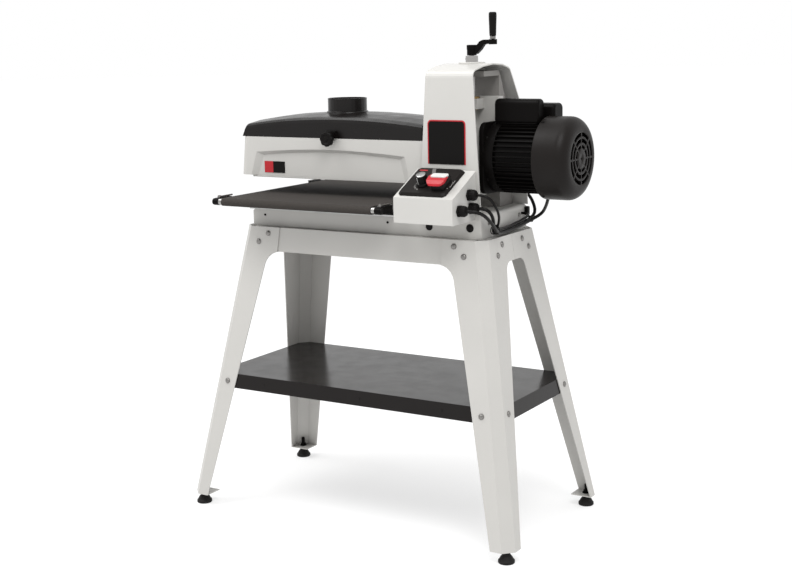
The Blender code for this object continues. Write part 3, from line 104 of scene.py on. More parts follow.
# Routes of the power cord and the two leads, as in the CAD.
POWER_ROUTE = (
    (GLAND_END, -0.1420, 0.8370), (GLAND_END + 0.012, -0.1415, 0.8368),
    (0.3370, -0.1370, 0.8320), (0.3410, -0.1270, 0.8200), (0.3385, -0.1140, 0.8040),
    (0.3310, -0.0990, 0.7880), (0.3220, -0.0800, 0.7740), (0.3160, -0.0520, 0.7670),
    (0.3150, -0.0020, 0.7660), (0.3150, 0.0420, 0.7690), (0.3150, 0.0880, 0.7740),
    (0.3170, 0.1210, 0.7790), (0.3225, 0.1390, 0.7890), (0.3240, 0.1430, 0.8020),
    (0.3170, 0.1470, 0.8190), (0.3050, 0.1510, 0.8350), (0.2860, 0.1550, 0.8480),
    (0.2610, 0.1590, 0.8510), (0.2370, 0.1620, 0.8370), (0.2200, 0.1640, 0.8050),
    (0.2110, 0.1650, 0.7500), (0.2070, 0.1650, 0.6800), (0.2050, 0.1650, 0.6000),
    (0.2050, 0.1650, 0.5000), (0.2050, 0.1650, 0.4300), (0.2080, 0.1600, 0.3960),
    (0.2180, 0.1430, 0.3735), (0.2350, 0.1170, 0.3695), (0.2600, 0.0800, 0.3695),
    (0.2860, 0.0405, 0.3695), (0.3160, -0.0090, 0.3695),
)
MOTOR_ROUTE = (
    (GLAND_END - 0.004, -0.1990, 0.8370), (GLAND_END + 0.011, -0.1985, 0.8369),
    (0.3390, -0.1900, 0.8340), (0.3460, -0.1720, 0.8240), (0.3480, -0.1500, 0.8090),
    (0.3460, -0.1260, 0.7930), (0.3400, -0.0990, 0.7790), (0.3320, -0.0740, 0.7700),
    (0.3258, -0.0520, 0.7670), (0.3252, -0.0020, 0.7670), (0.3252, 0.0420, 0.7700),
    (0.3260, 0.0850, 0.7750), (0.3310, 0.1120, 0.7810), (0.3420, 0.1260, 0.7890),
    (0.3560, 0.1230, 0.8000), (0.3720, 0.1060, 0.8160), (0.3870, 0.0850, 0.8330),
    (0.4000, 0.0650, 0.8520), (0.4050, 0.0555, 0.8680), (0.4050, 0.0550, 0.8800),
)
DRIVE_ROUTE = (
    (GLAND_END - 0.004, -0.1500, 0.8700), (GLAND_END + 0.012, -0.1498, 0.8699),
    (0.3380, -0.1470, 0.8670), (0.3470, -0.1400, 0.8580), (0.3520, -0.1310, 0.8440),
    (0.3530, -0.1190, 0.8290), (0.3490, -0.1050, 0.8130), (0.3400, -0.0900, 0.7980),
    (0.3290, -0.0740, 0.7860), (0.3220, -0.0520, 0.7770), (0.3205, -0.0020, 0.7765),
    (0.3225, 0.0320, 0.7800), (0.3280, 0.0580, 0.7855), (0.3320, 0.0760, 0.7905),
    (0.3305, 0.0905, 0.7950), (0.3235, 0.0985, 0.7970), (0.3130, 0.1000, 0.7970),
    (0.2940, 0.1000, 0.7970),
)

# The coil on the shelf, its directions and its steps per turn, and the plug beside it.
COIL_CENTRE = (0.3060, -0.0765)
COIL_R = 10 * CORD_R
COIL_HEADING = math.radians(31.53)
COIL_AHEAD = Vector((-math.sin(COIL_HEADING), math.cos(COIL_HEADING), 0.0))
COIL_ACROSS = Vector((math.cos(COIL_HEADING), math.sin(COIL_HEADING), 0.0))
COIL_STEPS = 24
COIL_LENGTH = 3 * COIL_STEPS + 14
PLUG_R = 0.0130
PLUG_START = Vector((0.2557, -0.0533, SHELF_TOP + PLUG_R + LIE_GAP))
PLUG_HEADING = math.radians(106.0)

# Camera and lamps; a lamp is its name, place, size and watts.
VIEW_AZIMUTH, VIEW_PITCH, VIEW_ROLL = (math.radians(a) for a in (31.53, 10.54, -1.158))
CAMERA_PLACE = (1.8586, -3.0279, 1.2591)
SENSOR_MM = 36.0
LENS_MM = 62.66
LENS_SHIFT = -0.0046
LAMP_TARGET = (0.0, 0.0, 0.7)
LAMPS = (
    ("left", (-1.8, -1.3, 3.8), (2.4, 2.0), 72.0),
    ("right", (1.7, -1.8, 3.7), (1.8, 1.4), 68.0),
    ("top", (0.2, -0.4, 4.0), (2.0, 1.6), 14.0),
)

# Filled by main with every material, by key.
MATS = {}

# Colours that several materials share, and the directions of tool marks on bare metal.
WARM = (0.445, 0.436, 0.416)
FAIR = (0.465, 0.457, 0.437)
BLACK = (0.0035, 0.0030, 0.0028)
EVEN = (1.0, 1.0, 1.0)
TURNED_X = (1.0, 0.05, 0.05)
TURNED_Z = (0.05, 0.05, 1.0)

# Each paint: name, colour, roughness, grain per metre, relief in metres, mottle and gleam.
PAINTS = {
    "stand": ("stand_paint", WARM, 0.42, 750.0, 0.00005, 0.015, 0.40),
    "casting": ("casting_paint", WARM, 0.45, 420.0, 0.00009, 0.02, 0.40),
    "cover": ("cover_paint", FAIR, 0.32, 900.0, 0.00003, 0.01, 0.40),
    "shelf": ("shelf_paint", (0.0062, 0.0047, 0.0043), 0.22, 900.0, 0.000008, 0.01, 0.22),
    "lid": ("dust_cover_paint", (0.0040, 0.0030, 0.0027), 0.29, 1100.0, 0.000006, 0.03, 0.24),
    "iron": ("grey_iron", (0.20, 0.192, 0.182), 0.55, 380.0, 0.00012, 0.06, 0.30),
    "plastic": ("black_plastic", (0.0062, 0.0056, 0.0053), 0.36, 1200.0, 0.00002, 0.05, 0.07),
    "motor": ("motor_paint", BLACK, 0.36, 500.0, 0.00003, 0.06, 0.05),
    "cowl": ("cowl_paint", (0.0082, 0.0067, 0.0061), 0.40, 700.0, 0.00003, 0.04, 0.12),
    "panel": ("panel_grey", (0.0120, 0.0104, 0.0096), 0.42, 900.0, 0.00002, 0.03, 0.08),
    "marks": ("panel_marks", (0.46, 0.45, 0.43), 0.50, 900.0, 0.00002, 0.02, 0.40),
    "band": ("panel_band", (0.13, 0.125, 0.12), 0.45, 900.0, 0.00002, 0.02, 0.20),
    "red": ("red_plastic", (0.36, 0.0080, 0.0150), 0.30, 1000.0, 0.00002, 0.03, 0.30),
    "white": ("white_plastic", (0.55, 0.545, 0.53), 0.34, 1000.0, 0.00002, 0.02, 0.40),
    "badge_red": ("badge_red", (0.38, 0.0090, 0.0160), 0.34, 1000.0, 0.00002, 0.03, 0.30),
    "badge_black": ("badge_black", BLACK, 0.34, 1000.0, 0.00002, 0.04, 0.10),
    "rubber": ("foot_rubber", (0.0080, 0.0070, 0.0068), 0.62, 500.0, 0.00010, 0.08, 0.20),
    "cord": ("cord_rubber", BLACK, 0.36, 900.0, 0.00003, 0.05, 0.15),
}

# Each metal: name, colour, roughness, direction of the marks, marks per metre and relief in metres.
METALS = {
    "bed": ("bed_steel", (0.50, 0.50, 0.49), 0.38, (20.0, 1.0, 20.0), 60.0, 0.00001),
    "steel": ("bright_steel", (0.46, 0.46, 0.45), 0.28, TURNED_X, 900.0, 0.00001),
    "screw": ("screw_steel", (0.40, 0.39, 0.38), 0.30, TURNED_Z, 900.0, 0.00001),
    "zinc": ("zinc_plate", (0.24, 0.232, 0.222), 0.26, EVEN, 300.0, 0.00001),
    "dark_steel": ("browned_steel", (0.060, 0.056, 0.053), 0.36, TURNED_X, 900.0, 0.00001),
    "chrome": ("roller_chrome", (0.34, 0.335, 0.325), 0.14, TURNED_X, 500.0, 0.000004),
    "aluminium": ("drum_aluminium", (0.55, 0.55, 0.54), 0.34, (1.0, 0.03, 0.03), 900.0, 0.00001),
    "bronze": ("nut_bronze", (0.38, 0.26, 0.12), 0.36, TURNED_Z, 700.0, 0.00001),
    "silver": ("brushed_cap", (0.42, 0.42, 0.41), 0.30, EVEN, 500.0, 0.00001),
}


# ---- camera, floor and light


def camera():
    """The photograph's view: a long lens from the front right, a little above the table."""
    back = Vector((
        math.sin(VIEW_AZIMUTH) * math.cos(VIEW_PITCH),
        -math.cos(VIEW_AZIMUTH) * math.cos(VIEW_PITCH),
        math.sin(VIEW_PITCH),
    ))
    right = Vector((math.cos(VIEW_AZIMUTH), math.sin(VIEW_AZIMUTH), 0.0))
    up = back.cross(right)
    turned_right = right * math.cos(VIEW_ROLL) + up * math.sin(VIEW_ROLL)
    turned_up = up * math.cos(VIEW_ROLL) - right * math.sin(VIEW_ROLL)
    data = bpy.data.cameras.new("camera")
    data.sensor_width = SENSOR_MM
    data.lens = LENS_MM
    data.shift_x = LENS_SHIFT
    obj = bpy.data.objects.new("camera", data)
    axes = Matrix((turned_right, turned_up, back)).transposed()
    obj.matrix_world = Matrix.Translation(CAMERA_PLACE) @ axes.to_4x4()
    bpy.context.scene.collection.objects.link(obj)
    bpy.context.scene.camera = obj


def area_light(name, place, size, power):
    """A large soft lamp aimed at the machine's middle."""
    data = bpy.data.lights.new(name, "AREA")
    data.shape = "RECTANGLE"
    data.size, data.size_y = size
    data.energy = power
    obj = bpy.data.objects.new(name, data)
    heading = (Vector(LAMP_TARGET) - Vector(place)).to_track_quat("-Z", "Y")
    obj.matrix_world = Matrix.Translation(place) @ heading.to_matrix().to_4x4()
    bpy.context.scene.collection.objects.link(obj)


def studio():
    """Pale floor, pale surroundings and three soft lamps."""
    bm = bmesh.new()
    bmesh.ops.create_circle(bm, cap_ends=True, segments=96, radius=40.0)
    floor = mesh_object("floor", bm)
    floor.data.materials.append(floor_finish())
    world = bpy.data.worlds.new("studio")
    world.use_nodes = True
    background = world.node_tree.nodes["Background"]
    background.inputs["Color"].default_value = (1.0, 1.0, 1.0, 1.0)
    background.inputs["Strength"].default_value = 1.0
    bpy.context.scene.world = world
    bpy.context.scene.view_settings.view_transform = "Standard"
    for lamp in LAMPS:
        area_light(*lamp)


# ---- shapes


def mesh_object(name, bm, outward=True):
    """A new object from world-space geometry, shaded smooth with sharp creases."""
    if outward:
        bmesh.ops.recalc_face_normals(bm, faces=bm.faces)
    mesh = bpy.data.meshes.new(name)
    bm.to_mesh(mesh)
    bm.free()
    mesh.shade_smooth()
    mesh.set_sharp_from_angle(angle=math.radians(32))
    obj = bpy.data.objects.new(name, mesh)
    bpy.context.scene.collection.objects.link(obj)
    return obj


def piece(name, bm, key, body, stands_for=(), slot=None):
    """A finished piece: its mesh, material, CAD body and the nodes it replaces; a material slot is
    looked up but given to nothing.
    """
    slot = slot or SLOTS[key]
    obj = mesh_object(name, bm)
    obj.data.materials.append(MATS[key])
    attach(obj, body)
    if stands_for:
        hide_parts(*stands_for)
    return obj


def soften(obj, width, segments=2, angle=40):
    """Round an object's hard edges with a bevel modifier."""
    step = obj.modifiers.new("edges", "BEVEL")
    step.width = width
    step.segments = segments
    step.limit_method = "ANGLE"
    step.angle_limit = math.radians(angle)
    step.harden_normals = True
    return obj


def turn_to(axis):
    """Rotation that takes +Z to the named axis, keeping prism outlines readable."""
    return {
        "X": Matrix(((0, 0, 1), (1, 0, 0), (0, 1, 0))),
        "Y": Matrix(((1, 0, 0), (0, 0, 1), (0, 1, 0))),
        "Z": Matrix.Identity(3),
    }[axis]


def bridge(bm, rows, closed=False):
    """Skin a stack of matching rings; a closed stack also joins its last ring to the first."""
    following = rows[1:] + rows[:1] if closed else rows[1:]
    for first, second in zip(rows, following):
        for i in range(len(first)):
            j = (i + 1) % len(first)
            corners = list(dict.fromkeys((first[i], first[j], second[j], second[i])))
            if len(corners) > 2:
                bm.faces.new(corners)


def prism(outline, axis, start, end):
    """Extrude an outline: (y, z) along X, (x, z) along Y, or (x, y) along Z."""
    bm = bmesh.new()
    turn = turn_to(axis)
    near = [bm.verts.new(turn @ Vector((a, b, start))) for a, b in outline]
    far = [bm.verts.new(turn @ Vector((a, b, end))) for a, b in outline]
    bm.faces.new(near)
    bm.faces.new(far)
    bridge(bm, [near, far])
    return bm


def ring(bm, axis, centre, along, reaches):
    """New vertices round an axis, evenly turned, each at its own distance from the axis."""
    turn = turn_to(axis)
    verts = []
    for i, reach in enumerate(reaches):
        angle = 2.0 * math.pi * i / len(reaches)
        x, y = centre[0] + reach * math.cos(angle), centre[1] + reach * math.sin(angle)
        verts.append(bm.verts.new(turn @ Vector((x, y, along))))
    return verts


def lathe(profile, axis="X", centre=(0.0, 0.0), segments=48):
    """Turn a closed profile of (along, radius) points about an axis through the centre."""
    bm = bmesh.new()
    rings = []
    for along, radius in profile:
        if radius == 0.0:
            rings.append(ring(bm, axis, centre, along, [0.0]) * segments)
        else:
            rings.append(ring(bm, axis, centre, along, [radius] * segments))
    bridge(bm, rings, closed=True)
    return bm


def ribbed(levels, segments, groove, axis="Z", centre=(0.0, 0.0)):
    """A capped stack of rings at (along, radius, depth); groove is the share cut at each step."""
    bm = bmesh.new()
    rows = []
    for along, radius, depth in levels:
        reaches = [radius - depth * groove(i) for i in range(segments)]
        rows.append(ring(bm, axis, centre, along, reaches))
    bridge(bm, rows)
    bm.faces.new(rows[0])
    bm.faces.new(rows[-1])
    return bm


def fluted(levels, flutes, axis="Z", centre=(0.0, 0.0)):
    """A ribbed knob with evenly spread round flutes."""
    segments = 96

    def groove(i):
        """Share of the flute's depth at a step."""
        return 0.5 - 0.5 * math.cos(2.0 * math.pi * i * flutes / segments)

    return ribbed(levels, segments, groove, axis, centre)


def arc(centre, radius, start, end, steps):
    """Points of a circular arc between two angles in degrees."""
    points = []
    for i in range(steps + 1):
        angle = math.radians(start + (end - start) * i / steps)
        points.append((centre[0] + radius * math.cos(angle), centre[1] + radius * math.sin(angle)))
    return points


def rod(start, end, radius):
    """Profile of a plain round bar, for lathe."""
    return [(start, 0.0), (start, radius), (end, radius), (end, 0.0)]


def hexagon(radius, centre=(0.0, 0.0)):
    """Corners of a hexagon."""
    return arc(centre, radius, 0, 300, 5)


def rectangle(x, y):
    """Corners of a rectangle, anticlockwise."""
    return [(x[0], y[0]), (x[1], y[0]), (x[1], y[1]), (x[0], y[1])]


def rounded(x, y, radius, steps=6):
    """A rectangle with rounded corners, anticlockwise."""
    low, high = (x[0] + radius, y[0] + radius), (x[1] - radius, y[1] - radius)
    return (
        arc((high[0], low[1]), radius, -90, 0, steps)
        + arc((high[0], high[1]), radius, 0, 90, steps)
        + arc((low[0], high[1]), radius, 90, 180, steps)
        + arc((low[0], low[1]), radius, 180, 270, steps)
    )


def join(*shapes):
    """Put separate shapes in one bmesh."""
    whole = shapes[0]
    for extra in shapes[1:]:
        mesh = bpy.data.meshes.new("part")
        extra.to_mesh(mesh)
        extra.free()
        whole.from_mesh(mesh)
        bpy.data.meshes.remove(mesh)
    return whole


def moved(bm, matrix):
    """Move a shape by a matrix."""
    bmesh.ops.transform(bm, matrix=matrix, verts=bm.verts)
    return bm


def facing(place, normal):
    """Matrix whose +Z is a surface's normal at a place."""
    return Matrix.Translation(place) @ Vector(normal).to_track_quat("Z", "Y").to_matrix().to_4x4()


# ---- materials


class Finish:
    """A node material on object coordinates in metres, and the steps that build it."""

    def __init__(self, name):
        self.mat = bpy.data.materials.new(name)
        self.mat.use_nodes = True
        self.nodes, self.links = self.mat.node_tree.nodes, self.mat.node_tree.links
        self.shader = self.nodes["Principled BSDF"]
        self.coords = self.nodes.new("ShaderNodeTexCoord").outputs["Object"]

    def fix(self, socket, value):
        """Set one of the shader's own sockets to a constant."""
        self.shader.inputs[socket].default_value = value

    def feed(self, socket, output):
        """Link a node's output to one of the shader's sockets."""
        self.links.new(output, self.shader.inputs[socket])

    def noise(self, scale, detail=3.0, stretch=None):
        """A noise texture's factor, on coordinates that may be stretched along an axis."""
        texture = self.nodes.new("ShaderNodeTexNoise")
        texture.inputs["Scale"].default_value = scale
        texture.inputs["Detail"].default_value = detail
        coords = self.coords
        if stretch is not None:
            mapping = self.nodes.new("ShaderNodeMapping")
            mapping.inputs["Scale"].default_value = stretch
            self.links.new(coords, mapping.inputs["Vector"])
            coords = mapping.outputs["Vector"]
        self.links.new(coords, texture.inputs["Vector"])
        return texture.outputs["Fac"]

    def spread(self, factor, low, high, centre=(0.35, 0.65)):
        """Map a noise factor to a range."""
        step = self.nodes.new("ShaderNodeMapRange")
        step.inputs["From Min"].default_value, step.inputs["From Max"].default_value = centre
        step.inputs["To Min"].default_value, step.inputs["To Max"].default_value = low, high
        self.links.new(factor, step.inputs["Value"])
        return step.outputs["Result"]

    def tint(self, factor, dark, light):
        """Mix two colours by a factor, as the base colour."""
        mix = self.nodes.new("ShaderNodeMix")
        mix.data_type = "RGBA"
        mix.inputs["A"].default_value = (*dark, 1.0)
        mix.inputs["B"].default_value = (*light, 1.0)
        self.links.new(factor, mix.inputs["Factor"])
        self.feed("Base Color", mix.outputs["Result"])

    def bump(self, height, depth):
        """Use a factor as surface relief of a depth in metres."""
        step = self.nodes.new("ShaderNodeBump")
        step.inputs["Strength"].default_value = 1.0
        step.inputs["Distance"].default_value = depth
        self.links.new(height, step.inputs["Height"])
        self.feed("Normal", step.outputs["Normal"])


def paint(name, colour, roughness, grain, depth, mottle, gleam):
    """Coated metal or moulded plastic: fine grain, slight mottling and uneven gloss."""
    look = Finish(name)
    look.fix("Specular IOR Level", gleam)
    cloud = look.spread(look.noise(7.0, 5.0), 0.0, 1.0)
    dark = tuple(c * (1.0 - mottle) for c in colour)
    light = tuple(min(1.0, c * (1.0 + mottle)) for c in colour)
    look.tint(cloud, dark, light)
    look.feed("Roughness", look.spread(look.noise(23.0, 4.0), roughness - 0.04, roughness + 0.04))
    look.bump(look.noise(grain, 2.0), depth)
    return look.mat


def metal(name, colour, roughness, stretch, scale, depth):
    """Bare metal with tool marks that run along the squeezed axes."""
    look = Finish(name)
    look.fix("Metallic", 1.0)
    marks = look.noise(scale, 2.0, stretch)
    look.tint(look.spread(marks, 0.0, 1.0), tuple(c * 0.88 for c in colour), colour)
    look.feed("Roughness", look.spread(look.noise(40.0, 4.0), roughness * 0.8, roughness * 1.25))
    look.bump(marks, depth)
    return look.mat


def grit(name, dark, light, scale, depth):
    """Abrasive cloth: coarse bright and dark grains on a rough ground."""
    look = Finish(name)
    look.fix("Specular IOR Level", 0.2)
    grains = look.noise(scale, 6.0)
    look.tint(look.spread(grains, 0.0, 1.0, (0.30, 0.72)), dark, light)
    look.fix("Roughness", 0.88)
    look.bump(grains, depth)
    return look


def drum_grit():
    """Brown abrasive strip wound on the drum, with the thin gap between its turns."""
    strip_width, gap_share = 0.0760, 0.018
    look = grit("drum_abrasive", (0.10, 0.048, 0.024), (0.25, 0.14, 0.075), 1500.0, 0.0002)
    axes = look.nodes.new("ShaderNodeSeparateXYZ")
    look.links.new(look.coords, axes.inputs["Vector"])

    def maths(operation, a, b=None):
        """A math node on numbers or other nodes' outputs."""
        step = look.nodes.new("ShaderNodeMath")
        step.operation = operation
        for socket, value in zip(step.inputs, (a, b)):
            if isinstance(value, float):
                socket.default_value = value
            elif value is not None:
                look.links.new(value, socket)
        return step.outputs["Value"]

    around = maths("ARCTAN2", axes.outputs["Y"], maths("SUBTRACT", axes.outputs["Z"], DRUM_Z))
    widths = maths("DIVIDE", axes.outputs["X"], strip_width)
    turns = maths("ADD", widths, maths("DIVIDE", around, 2.0 * math.pi))
    seam = maths("LESS_THAN", maths("FRACT", turns), gap_share)
    mix = look.nodes.new("ShaderNodeMix")
    mix.data_type = "RGBA"
    mix.inputs["B"].default_value = (0.02, 0.015, 0.012, 1.0)
    look.links.new(seam, mix.inputs["Factor"])
    look.links.new(look.shader.inputs["Base Color"].links[0].from_socket, mix.inputs["A"])
    look.feed("Base Color", mix.outputs["Result"])
    return look


def floor_finish():
    """Plain pale studio floor with a faint glow of its own, so that shadows on it stay light."""
    look = Finish("floor_white")
    look.tint(look.spread(look.noise(0.7), 0.0, 1.0), (0.500, 0.500, 0.500), (0.510, 0.510, 0.510))
    look.fix("Roughness", 1.0)
    look.fix("Specular IOR Level", 0.0)
    look.fix("Emission Color", (1.0, 1.0, 1.0, 1.0))
    look.fix("Emission Strength", 0.51)
    return look.mat


def palette():
    """Every material, by name."""
    mats = {key: paint(*values) for key, values in PAINTS.items()}
    mats.update({key: metal(*values) for key, values in METALS.items()})
    belt = grit("belt_cloth", (0.0165, 0.0145, 0.0130), (0.056, 0.049, 0.044), 1300.0, 0.00016)
    mats.update({"belt": belt.mat, "strip": drum_grit().mat})
    return mats


# The CAD's material slot that goes with each of these materials, unless a piece names another; piece
# looks it up but gives it to nothing.
SLOTS = {
    "badge_black": "black_plastic",
    "badge_red": "red_plastic",
    "band": "panel_grey",
    "bronze": "nut_bronze",
    "casting": "casting_paint",
    "cord": "cord_rubber",
    "cover": "cover_paint",
    "lid": "dust_cover_paint",
    "marks": "panel_grey",
    "motor": "black_paint",
    "plastic": "black_plastic",
    "rubber": "foot_rubber",
    "shelf": "shelf_paint",
    "silver": "bright_steel",
    "white": "red_plastic",
    "zinc": "bright_steel",
}

# Material of each CAD node, and the width of its rounded edges in metres.
NODE_FINISH = {
    "stand": "leg_front_left leg_front_right leg_rear_left leg_rear_right "
    "rail_front rail_rear rail_left rail_right",
    "casting": "machine_base head_casting",
    "cover": "control_box tower_cover",
    "shelf": "shelf",
    "lid": "dust_cover",
    "iron": "tower_column",
    "bed": "conveyor_bed",
    "belt": "conveyor_belt",
    "strip": "abrasive_strip",
    "steel": "drum_shaft motor_rotor inboard_bearing outboard_bearing",
    "dark_steel": "infeed_roller outfeed_roller",
    "screw": "leadscrew",
    "chrome": "drive_roller idler_roller",
    "aluminium": "drum",
    "bronze": "lead_nut",
    "plastic": "cover_knob crank_grip speed_knob switch_housing cooling_fan "
    "gland_front gland_rear gland_top",
    "motor": "crank_arm motor_body start_capacitor_cover run_capacitor_cover conveyor_gearmotor "
    "infeed_roller_carrier outfeed_roller_carrier roller_bracket_front_left roller_bracket_front_right "
    "roller_bracket_rear_left roller_bracket_rear_right",
    "cowl": "fan_cover",
    "panel": "control_panel",
    "red": "switch_paddle",
    "rubber": "foot_front_left foot_front_right foot_rear_left foot_rear_right",
    "cord": "motor_lead drive_lead power_cord power_cord_coil power_plug",
}
EDGE_WIDTHS = {
    0.0010: "switch_housing",
    0.0015: "head_casting switch_paddle crank_arm conveyor_gearmotor "
    "roller_bracket_front_left roller_bracket_front_right "
    "roller_bracket_rear_left roller_bracket_rear_right",
    0.0020: "tower_column",
    0.0025: "machine_base control_box",
    0.0060: "dust_cover",
}


def finish_cad():
    """Give every CAD node its material, and small rounded edges where they show."""
    for key, names in NODE_FINISH.items():
        for name in names.split():
            NODES[name].data.materials.clear()
            NODES[name].data.materials.append(MATS[key])
    for width, names in EDGE_WIDTHS.items():
        for name in names.split():
            soften(NODES[name], width)


# ---- cord and leads


def smooth_route(points, spacing):
    """Read evenly spaced points from a Catmull-Rom curve through the route's own points."""
    steps = 24
    spots = [Vector(p) for p in points]
    spots = [2 * spots[0] - spots[1], *spots, 2 * spots[-1] - spots[-2]]
    fine = []
    for a, b, c, d in zip(spots, spots[1:], spots[2:], spots[3:]):
        for i in range(steps):
            t = i / steps
            curve = 2 * b + (c - a) * t + (2 * a - 5 * b + 4 * c - d) * t**2
            fine.append(0.5 * (curve + (3 * b - a - 3 * c + d) * t**3))
    fine.append(spots[-2])
    count = max(2, round(route_length(fine) / spacing))
    stride = route_length(fine) / count
    route, walked, target = [fine[0]], 0.0, stride
    for p, q in zip(fine, fine[1:]):
        step = (q - p).length
        while walked + step >= target and len(route) < count:
            route.append(p.lerp(q, (target - walked) / step))
            target += stride
        walked += step
    return [*route, fine[-1]]


def route_length(route):
    """Length of a route, point to point."""
    return sum((q - p).length for p, q in zip(route, route[1:]))


def route_curve(name, route, radius):
    """A round cord along a route, as a bevelled curve with filled ends."""
    curve = bpy.data.curves.new(name, "CURVE")
    curve.dimensions = "3D"
    curve.bevel_depth = radius
    curve.bevel_resolution = 5
    curve.use_fill_caps = True
    line = curve.splines.new("POLY")
    line.points.add(len(route) - 1)
    for point, spot in zip(line.points, route):
        point.co = (*spot, 1.0)
    line.use_smooth = True
    curve.materials.append(MATS["cord"])
    obj = bpy.data.objects.new(name, curve)
    bpy.context.scene.collection.objects.link(obj)
    return obj


def coil_points():
    """The cord's turns from where it meets the coil, two wide and two high, to where it leaves."""
    change_start, change_share = 0.78, 0.17
    centre = Vector((*COIL_CENTRE, SHELF_TOP + LIE_GAP + CORD_R))
    width = 2.0 * CORD_R
    inner = COIL_R - CORD_R
    points = []
    for step in range(COIL_LENGTH):
        turn, share = divmod(step / COIL_STEPS, 1.0)
        change = min(1.0, max(0.0, (share - change_start) / change_share))
        angle = 0.5 * math.pi * change * change * (3.0 - 2.0 * change)
        radius, height = (
            (inner + width * math.cos(angle), 0.0),
            (inner, width * math.sin(angle)),
            (inner + width * math.sin(angle), width * (math.sin(angle) + math.cos(angle))),
            (inner + width, width),
        )[int(turn)]
        around = -2.0 * math.pi * step / COIL_STEPS
        spot = centre + radius * (COIL_ACROSS * math.cos(around) + COIL_AHEAD * math.sin(around))
        points.append(spot + Vector((0.0, 0.0, height)))
    return points


def plug_matrix():
    """Matrix from the plug drawn along +Z to where it lies."""
    lay = Matrix.Rotation(PLUG_HEADING, 4, "Z") @ Matrix.Rotation(math.radians(90), 4, "Y")
    return Matrix.Translation(PLUG_START) @ lay


def power_plug():
    """Moulded plug: ribbed relief, waisted grip, two blades and an earth pin."""
    relief = [(0.0125, 0.0), (0.0125, 0.0056)]
    for i in range(7):
        start, rib, neck = 0.0125 + 0.0029 * i, 0.0062 + 0.0002 * i, 0.0052
        relief += [(start, rib), (start + 0.0019, rib), (start + 0.0021, neck), (start + 0.0028, neck)]
    body = [
        (0.0350, 0.0085), (0.0385, 0.0118), (0.0430, 0.0127), (0.0500, 0.0112),
        (0.0580, 0.0118), (0.0610, 0.0128), (0.0650, 0.0128), (0.0660, 0.0118), (0.0660, 0.0),
    ]
    shape = moved(lathe(relief + body, "Z", segments=40), plug_matrix())
    plug = piece("plug_body", shape, "cord", "base", ("power_plug",))
    metal_parts = []
    for x in ((-0.0070, -0.0055), (0.0055, 0.0070)):
        metal_parts.append(prism(rounded(x, (-0.0020, 0.0042), 0.0003, 2), "Z", 0.0655, 0.0830))
    earth = [(0.0655, 0.0), (0.0655, 0.0022), (0.0835, 0.0022), (0.0850, 0.0012), (0.0850, 0.0)]
    metal_parts.append(lathe(earth, "Z", (0.0, -0.0070), 20))
    shape = moved(join(*metal_parts), plug_matrix())
    pins = piece("plug_pins", shape, "bronze", "base")
    return plug, pins


def power_cord():
    """The power cord in one length: gland, bundle, over behind the tower, down, coil and plug."""
    tail = [plug_matrix() @ Vector((0.0, 0.0, along)) for along in (0.004, 0.014)]
    route = smooth_route([*POWER_ROUTE, *coil_points(), *tail], 0.009)
    cord = route_curve("power_cord_flex", route, CORD_R)
    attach(cord, "base")
    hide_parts("power_cord", "power_cord_coil")
    plug, pins = power_plug()
    tie = tie_band("coil_tie", coil_tie_place(), 0.0102, 0.0108)


def coil_tie_place():
    """Matrix for the tie round the coil's side, with +Z along the turns there."""
    spot = Vector((*COIL_CENTRE, SHELF_TOP + LIE_GAP + 2 * CORD_R)) - COIL_AHEAD * COIL_R
    return facing(spot, COIL_ACROSS)


def tie_band(name, matrix, half_width, half_height):
    """A cable tie: a flat rounded band round a bundle, and its square head."""
    edge = 0.0018
    radius = min(half_width, half_height) * 0.7
    outer = rounded((-half_width, half_width), (-half_height, half_height), radius, 6)
    inner = [(x * 0.88, y * 0.88) for x, y in outer]
    bm = bmesh.new()
    rows = []
    for outline, z in ((outer, -edge), (outer, edge), (inner, edge), (inner, -edge)):
        rows.append([bm.verts.new((x, y, z)) for x, y in outline])
    bridge(bm, rows, closed=True)
    square = rounded((-0.0028, 0.0028), (half_height - 0.0005, half_height + 0.0040), 0.0006, 2)
    shape = moved(join(bm, prism(square, "Z", -0.0026, 0.0026)), matrix)
    return piece(name, shape, "plastic", "base")


def leads():
    """The motor lead and the conveyor drive's lead."""
    spacing = 0.004
    drive = route_curve("conveyor_lead_flex", smooth_route(DRIVE_ROUTE, spacing), LEAD_R)
    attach(drive, "base")
    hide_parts("drive_lead")
    curve = route_curve("motor_lead_curve", smooth_route(MOTOR_ROUTE, spacing), CORD_R)
    bpy.context.view_layer.update()
    solid = curve.evaluated_get(bpy.context.evaluated_depsgraph_get())
    lead = bpy.data.objects.new("motor_lead_flex", bpy.data.meshes.new_from_object(solid))
    bpy.data.objects.remove(curve)
    bpy.context.scene.collection.objects.link(lead)
    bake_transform(lead)
    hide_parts("motor_lead")
    front_tie = facing((0.3305, -0.0900, 0.7790), (-0.25, 0.80, -0.50))
    tie_band("tie_front", front_tie, 0.0115, 0.0100)
    rear_tie = facing((0.3225, 0.1130, 0.7800), (0.20, 0.96, 0.20))
    tie_band("tie_rear", rear_tie, 0.0120, 0.0062)


